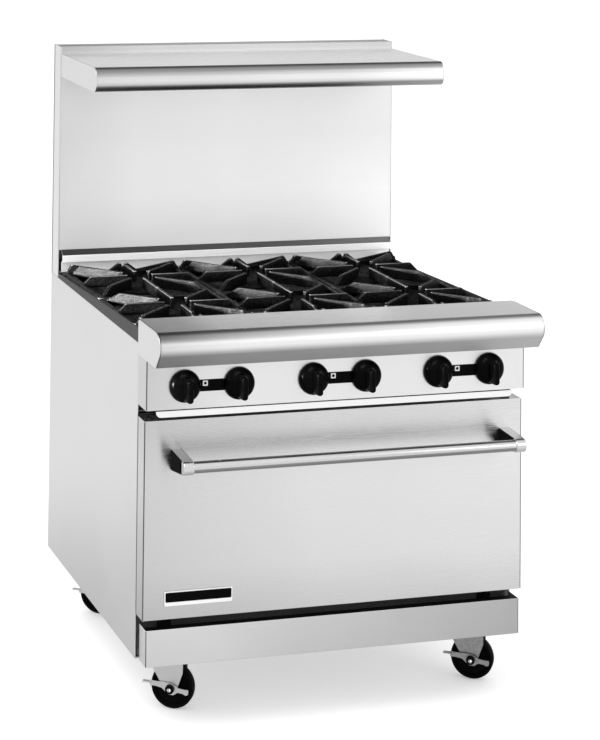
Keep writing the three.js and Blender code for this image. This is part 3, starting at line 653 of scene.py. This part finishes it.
def add_shelf():
    low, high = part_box("high_shelf")

    def rim(inset):
        y = low.y + SHELF_NOSE
        return [
            (high.y, high.z - inset),
            *arc(y, high.z - SHELF_NOSE, SHELF_NOSE - inset, 90, 180, 16),
            *arc(y, low.z + SHELF_NOSE, SHELF_NOSE - inset, 180, 270, 16),
            (y + SHELF_LIP, low.z + inset),
        ]

    made = bmesh.new()
    prism(made, [*rim(0), *rim(SKIN)[::-1]], "x", low.x + CAP, high.x - CAP)
    block(made, low.x + CAP, high.x - CAP, high.y - SKIN, high.y, low.z, high.z - 1 * MM)
    skin = to_object("shelf_skin", made, STEEL_SHELF)
    stands_for(repaint(skin, STEEL_SHELF_TOP, (0, 0, 1), LEVEL), "high_shelf")
    caps = bmesh.new()
    for x in (low.x, high.x - CAP):
        prism(caps, [*rim(0), (high.y, low.z)], "x", x, x + CAP)
    rides_with(to_object("shelf_end_caps", caps, STEEL_CAP, bevel=0.8 * MM, segments=3), "high_shelf")


add_rail()
add_shelf()


# ---------------------------------------------------------------- strips, folds, louvres and labels

STRIP_THICK, STRIP_PROUD = 3.8 * MM, 0.4 * MM
STRIP_FRONT, STRIP_BACK = 6.4 * MM, 697 * MM
STRIP_LOW_END, STRIP_HIGH_END = 11 * MM, 0.3 * MM  # over the strip's foot, and over the burner box
LAP, LAP_PROUD = 7 * MM, 0.3 * MM
HEM, GUARD_WALL = 10 * MM, 1.4 * MM
BLADES, BLADE_PITCH, BLADE_HALF, BLADE_DEPTH = 5, 7.5 * MM, 0.7 * MM, 12 * MM
LABEL_FOOT, LABEL_TOP, LABEL_THICK = 752 * MM, 778 * MM, 0.5 * MM
MARK_ALONG, MARK_UP, MARK_SIZE, MARK_HOLE = 42 * MM, 12 * MM, 11.5 * MM, 3.4 * MM
MARK_LEVELS = (0.6 * MM, 0.9 * MM)
HOLE_STEPS = 24


def add_strips():
    """The black tapered strips that top the side panels, as their own painted sheet."""
    low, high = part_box("burner_box")
    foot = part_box("side_panel_left")[1].z + STRIP_PROUD
    outline = [
        (low.y + STRIP_FRONT, foot), (low.y + STRIP_BACK, foot),
        (low.y + STRIP_BACK, foot + STRIP_LOW_END), (low.y + STRIP_FRONT, high.z + STRIP_HIGH_END),
    ]
    made = bmesh.new()
    left = (low.x - STRIP_PROUD, low.x + STRIP_THICK)
    right = (high.x - STRIP_THICK, high.x + STRIP_PROUD)
    for x0, x1 in (left, right):
        prism(made, outline, "x", x0, x1)
    rides_with(to_object("black_side_strips", made, BLACK_STRIP, bevel=0.5 * MM), "burner_box")


def add_folds(name, node, material, radius=1.5 * MM):
    """The rounded left and right folds of a sheet piece."""
    low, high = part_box(node)
    made = bmesh.new()
    tall, sunk = high.z - low.z, radius * 0.75
    profile = [(0, 1 * MM), (radius, 1.6 * MM), (radius, tall - 1.6 * MM), (0, tall - 1 * MM)]
    for x in (low.x + sunk, high.x - sunk):
        turned(made, profile, "z", Vector((x, low.y + sunk, low.z)), 16)
    rides_with(to_object(name, made, material, smooth=40), node)


def add_rear_seams():
    """The narrow lap where the backguard's sides fold over its rear cover."""
    low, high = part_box("backguard_panel")
    made = bmesh.new()
    for x in (low.x, high.x):
        block(made, x - LAP_PROUD, x + LAP_PROUD, high.y - LAP, high.y, low.z, high.z)
    rides_with(to_object("guard_rear_seams", made, STEEL_LAP), "backguard_panel")


def add_flue_louvres():
    """Upright blades across the flue outlet in the top of the backguard."""
    low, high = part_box("backguard_panel")
    made = bmesh.new()
    for i in range(BLADES):
        y = low.y + HEM + BLADE_PITCH * (i + 1)
        block(made, low.x + GUARD_WALL, high.x - GUARD_WALL, y - BLADE_HALF, y + BLADE_HALF,
              high.z - BLADE_DEPTH, high.z - 1 * MM)
    rides_with(to_object("flue_louvres", made, STEEL_GUARD), "backguard_panel")


def add_mark(name, face, left, base):
    """A plain square with a round hole, raised on a label strip."""
    made = bmesh.new()
    right, top, middle = left + MARK_SIZE, base + MARK_SIZE, MARK_SIZE / 2
    hole = arc(left + middle, base + middle, MARK_HOLE, 45, 405, HOLE_STEPS)[:HOLE_STEPS]
    square = [(right, top), (left, top), (left, base), (right, base)]
    steps = HOLE_STEPS // 4
    levels = []
    for proud in MARK_LEVELS:
        ring, edge = ([made.verts.new((u, face - proud, v)) for u, v in points] for points in (hole, square))
        levels.append((ring, edge))
        for k in range(4):
            span = [ring[(steps * k + i) % HOLE_STEPS] for i in range(steps + 1)]
            made.faces.new([edge[k], *span, edge[(k + 1) % 4]])
    for near, far in zip(*levels):
        wall(made, near, far)
    rides_with(to_object(name, made, WHITE_PRINT), "control_panel")


def add_labels():
    """Black strips between each pair of knobs, with a plain white mark for the burner."""
    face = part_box("control_panel")[0].y
    for column in COLUMNS:
        knobs = (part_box(f"knob_{row}_{column}") for row in ROWS)
        x0, x1 = ((low.x + high.x) / 2 for low, high in knobs)
        strip = bmesh.new()
        prism(strip, rounded(x0, x1, LABEL_FOOT, LABEL_TOP, 1 * MM, 3), "y", face - LABEL_THICK, face)
        rides_with(to_object(f"label_strip_{column}", strip, BLACK_LABEL), "control_panel")
        add_mark(f"label_mark_{column}", face, x0 + MARK_ALONG, LABEL_FOOT + MARK_UP)


add_strips()
# The panel, door and kick folds are painted near black as shade along each fold; the backguard's folds keep
# steel.
add_folds("panel_folds", "control_panel", PAINTED_SHADE_EDGE)
add_folds("door_folds", "door_skin", PAINTED_SHADE_EDGE)
add_folds("guard_front_folds", "backguard_panel", STEEL_X, 1.6 * MM)
add_folds("kick_folds", "kick_plate", PAINTED_SHADE_EDGE, 1.2 * MM)
add_rear_seams()
add_flue_louvres()
add_labels()


# ---------------------------------------------------------------- knobs

KNOB_HEIGHT = 766 * MM
KNOB_SKIRT = ((0, -21), (10, -20.8), (17, -19.9), (24, -17.8), (29.5, -14.6), (33.2, -10.8), (35.2, -7),
              (36, -3.4), (35.6, -1.6), (0, -1.6))
KNOB_SHAFT = ((0, -10), (4, -10), (4, 30), (0, 30))
# The grip's sections, in millimetres: distance out from the panel, half width, and extra length at each end.
KNOB_GRIP = ((-10, 9.6, 0.5), (-20, 8.7, 0), (-36, 7.6, -0.6), (-41.5, 7.2, -1.2), (-43.8, 6.2, -2.2),
             (-45, 4.4, -4.0))
GRIP_FOOT, GRIP_TOP, GRIP_CORNER = -30, 24, 6.6


def knob_mesh():
    """Domed skirt with a raised rim and a straight, rounded grip whose lower end points to the setting."""
    made = bmesh.new()
    turned(made, in_mm(KNOB_SKIRT), "y", ORIGIN, 56)
    rings = []
    for y, half, grow in KNOB_GRIP:
        corner = min(half - 0.2, GRIP_CORNER)
        foot, top = (GRIP_FOOT - grow) * MM, (GRIP_TOP + grow) * MM
        outline = rounded(-half * MM, half * MM, foot, top, corner * MM, 7)
        rings.append([Vector((u, y * MM, v)) for u, v in outline])
    loft(made, rings)
    turned(made, in_mm(KNOB_SHAFT), "y", ORIGIN, 16)
    shape = to_object("knob_shape", made, KNOB_BLACK, smooth=50)
    mesh = shape.data
    bpy.data.objects.remove(shape)
    return mesh


def add_knobs(collection):
    mesh = knob_mesh()
    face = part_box("control_panel")[0].y
    for column in COLUMNS:
        for row in ROWS:
            node = f"knob_{row}_{column}"
            low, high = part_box(node)
            place = ((low.x + high.x) / 2, face, KNOB_HEIGHT)
            collection.objects.link(place_shared(f"knob_body_{row}_{column}", mesh, place, node))


glossed = bpy.data.collections.new("glossed")
add_knobs(glossed)


# ---------------------------------------------------------------- grates and burners

GRATE_HALF, GRATE_BAR, ARM_THICK = 148 * MM, 12 * MM, 8 * MM
SEAT, BAR_TOP, ARM_FOOT, ARM_TOP = 857 * MM, 871 * MM, 864 * MM, 891 * MM
# Each arm is its turn in degrees, then in millimetres: where it starts, where its flat top ends, where it
# ends, and the height of that end.
GRATE_ARMS = (
    (0, 32, 127, 147, 871), (180, 32, 127, 147, 871), (90, 37, 114, 140, 878), (270, 37, 147.5, 147.8, 891),
    (45, 46, 170, 194, 868), (135, 46, 170, 194, 868), (225, 46, 152, 194, 868), (315, 46, 152, 194, 868),
)
LUGS = ((148, 878), (144, 878), (136.5, 891), (132, 891), (36, 873.5), (12, 891), (7, 891), (0, 880))
LUG_FOOT, LUG_THICK = 866 * MM, 9 * MM
BOWL = ((62, 835), (142, 857), (142, 862), (62, 840))
CAST_VOXEL, CAST_SHARE = 1.7 * MM, 0.16
PORTS, PORT_HALF = 30, 1.6 * MM
PORT_RING = (39 * MM, 43 * MM)
PORT_DEPTHS = (40 * MM, 15 * MM)
CROWN_CAP = ((0, -6), (38, -6), (43.5, -8.5), (46, -12), (46, -14.5), (44, -16), (0, -16))
CROWN_BOSS = ((0, -6.5), (12, -6.5), (12, -2.5), (10, -0.8), (0, -0.8))


def grate_arm(made, degrees, inner, flat, end, end_top):
    """One upright arm: flat top from inner to flat, then sloping down to its end."""
    start = len(made.verts)
    outline = [(inner, ARM_FOOT), (inner, ARM_TOP), (flat, ARM_TOP), (end, end_top), (end, ARM_FOOT)]
    prism(made, outline, "y", -ARM_THICK / 2, ARM_THICK / 2)
    spin(made, start, degrees)


def cast(rough):
    """The mesh of an object as one rounded casting, and the object removed."""
    remesh = rough.modifiers.new("cast", "REMESH")
    remesh.mode = "VOXEL"
    remesh.voxel_size = CAST_VOXEL
    soften = rough.modifiers.new("soften", "SMOOTH")
    soften.factor, soften.iterations = 0.5, 2
    thin = rough.modifiers.new("thin", "DECIMATE")
    thin.ratio = CAST_SHARE
    graph = bpy.context.evaluated_depsgraph_get()
    mesh = bpy.data.meshes.new_from_object(rough.evaluated_get(graph))
    bpy.data.objects.remove(rough)
    mesh.shade_smooth()
    return mesh


def grate_mesh():
    """A cast grate: square frame, eight arms, a bowl, and lugs along one edge with V notches."""
    made = bmesh.new()
    half = GRATE_HALF
    for sign in (-1, 1):
        edges = sorted((sign * half, sign * (half - GRATE_BAR)))
        block(made, *edges, -half, half, SEAT, BAR_TOP)
        block(made, -half, half, *edges, SEAT, BAR_TOP)
    lugs = [*LUGS, *((-x, z) for x, z in LUGS[-2::-1])]
    prism(made, [*in_mm(lugs), (-half, LUG_FOOT), (half, LUG_FOOT)], "y", half - LUG_THICK, half)
    for degrees, *sizes in GRATE_ARMS:
        grate_arm(made, degrees, *(size * MM for size in sizes))
    turned(made, in_mm(BOWL), "z", ORIGIN, 72, closed=True)
    mesh = cast(to_object("grate_rough", made, IRON_GRATE, smooth=180))
    mesh.name = "grate_shape"
    mesh.materials.clear()
    mesh.materials.append(IRON_GRATE)
    return mesh


def add_burner(node, centre):
    """The CAD burner with softened edges, and a crown of port ribs under its cap."""
    dress(node, IRON_BURNER, 1.2 * MM)
    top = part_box(node)[1].z
    made = bmesh.new()
    for i in range(PORTS):
        start = len(made.verts)
        block(made, *PORT_RING, -PORT_HALF, PORT_HALF, *(top - depth for depth in PORT_DEPTHS))
        spin(made, start, 360 * i / PORTS)
    turned(made, in_mm(CROWN_CAP, top), "z", ORIGIN, 48)
    turned(made, in_mm(CROWN_BOSS, top), "z", ORIGIN, 32)
    bmesh.ops.translate(made, verts=made.verts, vec=centre)
    rides_with(to_object(f"{node}_crown", made, IRON_BURNER, smooth=40), node)


def add_cooktop(collection):
    """Six grates, each over its burner. The front ones are turned about, so that their lugs face the front."""
    mesh = grate_mesh()
    for column in COLUMNS:
        for row in ROWS:
            node = f"grate_{row}_{column}"
            low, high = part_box(node)
            centre = Vector(((low.x + high.x) / 2, (low.y + high.y) / 2, 0))
            turn = 0.0 if row == "back" else math.pi
            collection.objects.link(place_shared(f"grate_casting_{row}_{column}", mesh, centre, node, turn))
            add_burner(f"burner_{row}_{column}", centre)


raked = bpy.data.collections.new("raked")
add_cooktop(raked)


# ---------------------------------------------------------------- door handle and badge

POST_FOOT, POST_TOP = 27 * MM, 19 * MM
COLLAR_EDGE = 1.6 * MM
INSERT = 1.2 * MM
INSERT_FOOT, INSERT_TOP, INSERT_MARGIN, INSERT_SHORT = 26 * MM, 18.4 * MM, 0.6 * MM, 3 * MM
BADGE_FOOT_MARGIN = 6


def add_handle():
    """A tube between two wedge posts, each with a round collar and black plates let into its sides."""
    low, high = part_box("handle_tube")
    radius = (high.z - low.z) / 2
    centre = Vector((0, (low.y + high.y) / 2, (low.z + high.z) / 2))
    tube = bmesh.new()
    turned(tube, [(0, low.x), (radius, low.x), (radius, high.x), (0, high.x)], "x", centre, 56)
    stands_for(to_object("handle_bar", tube, STEEL_TUBE, smooth=40), "handle_tube")
    for side in SIDES:
        add_handle_post(side, centre)


def add_handle_post(side, centre):
    node = f"handle_bracket_{side}"
    low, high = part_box(node)
    collar = centre.y - low.y
    made = bmesh.new()
    wedge = [(high.y, centre.z - POST_FOOT), (high.y, centre.z + POST_TOP), (centre.y, centre.z + collar),
             (centre.y, centre.z - collar)]
    prism(made, wedge, "x", low.x + INSERT, high.x - INSERT)
    ring = [(0, low.x), (collar - COLLAR_EDGE, low.x), (collar, low.x + COLLAR_EDGE),
            (collar, high.x - COLLAR_EDGE), (collar - COLLAR_EDGE, high.x), (0, high.x)]
    turned(made, ring, "x", Vector((0, centre.y, centre.z)), 48)
    post = to_object(f"handle_post_{side}", made, STEEL_BRIGHT, bevel=0.8 * MM, segments=3)
    stands_for(repaint(post, STEEL_BRACKET, (0, 0, 1), 0.95), node)
    plate = bmesh.new()
    end = centre.y + INSERT_SHORT
    shape = [(high.y, centre.z - INSERT_FOOT), (high.y, centre.z + INSERT_TOP),
             (end, centre.z + collar - INSERT_MARGIN), (end, centre.z - collar + INSERT_MARGIN)]
    for x in (low.x, high.x - INSERT):
        prism(plate, shape, "x", x, x + INSERT)
    rides_with(to_object(f"handle_insert_{side}", plate, BLACK_CAP), node)


def add_badge():
    """A blank plate: bright rim, then a white border, wider at the foot, then a plain black field."""
    low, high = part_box("badge_plate")

    def layer(inset, foot, radius, front, back):
        made = bmesh.new()
        outline = rounded(low.x + inset * MM, high.x - inset * MM, low.z + inset * MM + foot * MM,
                          high.z - inset * MM, radius * MM, 5)
        prism(made, outline, "y", low.y - front * MM, back)
        return made

    behind = low.y + 0.3 * MM
    rim = to_object("badge_rim", layer(0, 0, 3, 0, high.y), BADGE_METAL, bevel=0.4 * MM)
    border = to_object("badge_border", layer(1.0, 0, 2.4, 0.35, behind), WHITE_PRINT)
    field = to_object("badge_field", layer(3.0, BADGE_FOOT_MARGIN, 2.6, 0.7, behind), BLACK_LABEL)
    stands_for(rim, "badge_plate")
    rides_with(border, "badge_plate")
    rides_with(field, "badge_plate")


add_handle()
add_badge()


# ---------------------------------------------------------------- oven rack

RACK_WIRE, RACK_ROD = 3 * MM, 1.8 * MM
RACK_RODS, ROD_LIFT = 19, 2 * MM
WIRE_CHAMFER = 0.4 * MM


def add_rack():
    """Chromed wires: a round frame, a raised back wire and rods from front to back."""
    low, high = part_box("oven_rack")
    made = bmesh.new()
    z = low.z + RACK_WIRE
    left, right, back = low.x + RACK_WIRE, high.x - RACK_WIRE, high.y - RACK_WIRE

    def bar(axis, start, length, radius):
        profile = [(0, 0), (radius, WIRE_CHAMFER), (radius, length - WIRE_CHAMFER), (0, length)]
        turned(made, profile, axis, Vector(start), 12)

    for y in (low.y + RACK_WIRE, back):
        bar("x", (low.x, y, z), high.x - low.x, RACK_WIRE)
    bar("x", (low.x, back, high.z - RACK_WIRE), high.x - low.x, RACK_WIRE)
    for x in (left, right):
        bar("y", (x, low.y, z), high.y - low.y, RACK_WIRE)
    for i in range(RACK_RODS):
        x = left + (right - left) * (i + 1) / (RACK_RODS + 1)
        bar("y", (x, low.y, z + ROD_LIFT), high.y - low.y, RACK_ROD)
    post, tall = RACK_WIRE * 0.9, high.z - low.z - RACK_WIRE
    for x in (left, 0, right):
        turned(made, [(0, 0), (post, WIRE_CHAMFER), (post, tall), (0, tall)], "z",
               Vector((x, back, low.z + RACK_WIRE / 2)), 12)
    stands_for(to_object("rack_wires", made, CHROME, smooth=40), "oven_rack")


add_rack()


# ---------------------------------------------------------------- casters

AXLE_TURN = -35
WHEEL_HALF = ((4.5, 17), (13, 17), (15, 14.5), (17.5, 9), (38, 9), (41, 13), (43.5, 14.6), (46, 14),
              (48.6, 11.5), (50, 6))
AXLE_NUT = ((0, -39), (2.5, -38.6), (4.6, -37), (5.6, -34.5), (5.8, -33), (0, -33))
AXLE_WASHER = ((0, -33.4), (9.4, -33.4), (10, -32.6), (10, -26.6), (0, -26.6))


def add_caster(corner):
    """A black wheel with a rounded tread and a recessed web, its fork and brake lever, and its axle bolt."""
    wheel, fork, lever = f"caster_wheel_{corner}", f"caster_fork_{corner}", f"brake_lever_{corner}"
    low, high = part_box(wheel)

    def on_axle(name, profile, material, smooth, segments, closed=False):
        made = bmesh.new()
        turned(made, in_mm(profile), "y", ORIGIN, segments, closed)
        spin(made, 0, AXLE_TURN)
        bmesh.ops.translate(made, verts=made.verts, vec=(low + high) / 2)
        return to_object(f"{name}_{corner}", made, material, smooth)

    section = [*((r, -y) for r, y in WHEEL_HALF), *WHEEL_HALF[::-1]]
    stands_for(on_axle("caster_tyre", section, TREAD, 32, 64, closed=True), wheel)
    nut = on_axle("axle_nut", AXLE_NUT, CHROME, 30, 6)
    washer = on_axle("axle_washer", AXLE_WASHER, BLACK_SHEET_AND_SHADE, 30, 32)
    rides_with(nut, fork)
    rides_with(washer, fork)
    # The right-hand casters take the darker zinc copy: painted shade.
    plate = ZINC if corner.endswith("left") else ZINC_SHADED
    dress(fork, plate)
    dress(lever, plate)


for corner in CORNERS:
    add_caster(corner)


# ---------------------------------------------------------------- floor, light and camera

FLOOR_HALF, FLOOR_CELLS = 60, 8
FLOOR_LIFT = 0.35
MIRRORED_NEAR, MIRRORED_FAR = 0.58, 0.97  # painted shade in what steel mirrors: how bright the floor glows in steel beside the range and a metre away


def add_floor():
    """A white floor. Seen directly its shadows are soft; mirrored in steel it glows with painted shade, dark
    close to the range.
    """
    made = bmesh.new()
    bmesh.ops.create_grid(made, x_segments=FLOOR_CELLS, y_segments=FLOOR_CELLS, size=FLOOR_HALF)
    shader = Shader("studio_floor", roughness=0.85, specular_ior_level=0.1)
    shader.set("Base Color", shader.mix(shader.noise(0.7, detail=2.0), grey(0.9), grey(0.92)))
    place, middle = shader.split(shader.place), (cad_low + cad_high) / 2
    beyond = [
        shader.combine(shader.combine(shader.combine(place[i], middle[i], "SUBTRACT"), 0, "ABSOLUTE"),
                       cad_high[i] - middle[i], "SUBTRACT")
        for i in (0, 1)
    ]
    # Painted shade for glossy rays: the floor's mirrored glow darkens close to the range.
    mirrored_shade = shader.spread(shader.combine(*beyond, "MAXIMUM"), MIRRORED_NEAR, MIRRORED_FAR, 0.0, 1.0)
    plain = shader.surface.outputs[0]
    lift = shader.node("ShaderNodeEmission")
    lift.inputs["Strength"].default_value = FLOOR_LIFT
    lifted = shader.node("ShaderNodeAddShader")
    shader.link(plain, lifted.inputs[0])
    shader.link(lift.outputs[0], lifted.inputs[1])
    glossy = shader.node("ShaderNodeEmission")
    shader.link(mirrored_shade, glossy.inputs["Strength"])
    rays = shader.node("ShaderNodeLightPath")
    result = plain
    for ray, other in (("Is Camera Ray", lifted), ("Is Glossy Ray", glossy)):
        mixed = shader.node("ShaderNodeMixShader")
        for socket, output in zip(mixed.inputs, (rays.outputs[ray], result, other.outputs[0])):
            shader.link(output, socket)
        result = mixed.outputs[0]
    shader.link(result, shader.tree.nodes["Material Output"].inputs["Surface"])
    to_object("floor", made, shader.material)


def add_sky():
    """White surroundings. What shiny metal mirrors is bright in front and dark high up behind."""
    world = bpy.data.worlds.new("studio")
    bpy.context.scene.world = world
    world.use_nodes = True
    sky = Graph(world.node_tree)
    toward = sky.split(sky.node("ShaderNodeTexCoord").outputs["Generated"])
    height = toward["Z"]
    rearward = sky.combine(sky.combine(toward["Y"], 0.5, "MULTIPLY"), 0.5)
    behind = sky.ramp(rearward, ((0.45, 0.0), (0.65, 1.0)))
    backdrop = sky.ramp(height, ((0.0, 0.85), (0.36, 0.85), (0.5, 0.1), (0.86, 0.1), (1.0, 0.5)))
    front = sky.ramp(height, ((0.0, 0.92), (1.0, 1.0)))
    soft = sky.ramp(height, ((0.0, 0.75), (1.0, 1.0)))
    rays = sky.node("ShaderNodeLightPath").outputs
    unseen = sky.mix(rays["Is Glossy Ray"], soft, sky.mix(behind, front, backdrop))
    seen = sky.mix(rays["Is Camera Ray"], unseen, grey(1.0))
    sky.link(seen, sky.tree.nodes["Background"].inputs["Color"])


def add_softbox(name, place, target, size, power, only=None, spared=None):
    """An area light. only is the collection it lights, and spared is an object it leaves out."""
    light = bpy.data.lights.new(name, "AREA")
    light.shape = "RECTANGLE"
    light.size, light.size_y = size
    light.energy = power
    obj = bpy.data.objects.new(name, light)
    obj.location = place
    obj.rotation_euler = (Vector(target) - Vector(place)).to_track_quat("-Z", "Y").to_euler()
    bpy.context.scene.collection.objects.link(obj)
    if only:
        obj.light_linking.receiver_collection = only
        obj.light_linking.blocker_collection = only
    if spared:
        others = bpy.data.collections.new(f"{name}_spares")
        others.objects.link(spared)
        others.collection_objects[0].light_linking.link_state = "EXCLUDE"
        obj.light_linking.receiver_collection = others


# The view camera: its place in metres, its aim in degrees, its lens, and the shift of its picture.
CAMERA_PLACE = Vector((-1.9109, -4.9714, 2.0280))
CAMERA_AZIMUTH, CAMERA_ELEVATION, CAMERA_ROLL = -15.098, -2.232, 0.767
CAMERA_LENS = 105.36
CAMERA_SHIFT = (0.3200, -0.8650)


def add_camera():
    data = bpy.data.cameras.new("camera")
    data.lens = CAMERA_LENS
    data.clip_end = 200
    camera = bpy.data.objects.new("camera", data)
    bpy.context.scene.collection.objects.link(camera)
    azimuth, elevation, roll = (math.radians(a) for a in (CAMERA_AZIMUTH, CAMERA_ELEVATION, CAMERA_ROLL))
    level = math.cos(elevation)
    back = Vector((math.sin(azimuth) * level, -math.cos(azimuth) * level, math.sin(elevation)))
    aim = (-back).to_track_quat("-Z", "Y").to_matrix()
    camera.matrix_world = Matrix.Translation(CAMERA_PLACE) @ (aim @ Matrix.Rotation(roll, 3, "Z")).to_4x4()
    # The shift belongs to this camera place, so it is zero wherever else the camera is put.
    for path, shift in zip(("shift_x", "shift_y"), CAMERA_SHIFT):
        driver = data.driver_add(path).driver
        home = driver.variables.new()
        home.name = "x"
        home.targets[0].id = camera
        home.targets[0].data_path = "location[0]"
        driver.expression = f"{shift} if abs(x - ({CAMERA_PLACE.x:.4f})) < 0.001 else 0.0"
    bpy.context.scene.camera = camera


add_floor()
add_sky()
guarded = bpy.data.collections.new("guarded")
for node in ("backguard_panel", "riser_trim"):
    guarded.objects.link(sheets[node])
# Each light: its name, place, target, size and watts. The last four each light one group of pieces only.
add_softbox("key", (-3.2, -1.5, 4.2), (0, 0, 0.6), (3.0, 3.0), 110, spared=sheets["backguard_panel"])
add_softbox("fill", (3.5, -4.0, 2.5), (0, 0, 0.7), (2.5, 2.5), 40)
add_softbox("guard_front", (0.4, -3.6, 1.6), (0, 0.4, 1.1), (3.0, 2.0), 60, only=guarded)
add_softbox("rake", (-3.2, -1.05, 1.0), (0, -0.15, 0.88), (0.8, 0.5), 1150, only=raked)
add_softbox("knob_glint", (-3.0, -0.9, 0.95), (0, -0.36, 0.77), (0.35, 0.35), 600, only=glossed)
add_softbox("knob_top", (-0.6, -2.6, 3.2), (0, -0.36, 0.77), (0.5, 0.5), 200, only=glossed)
add_camera()
bpy.context.scene.view_settings.view_transform = "Standard"
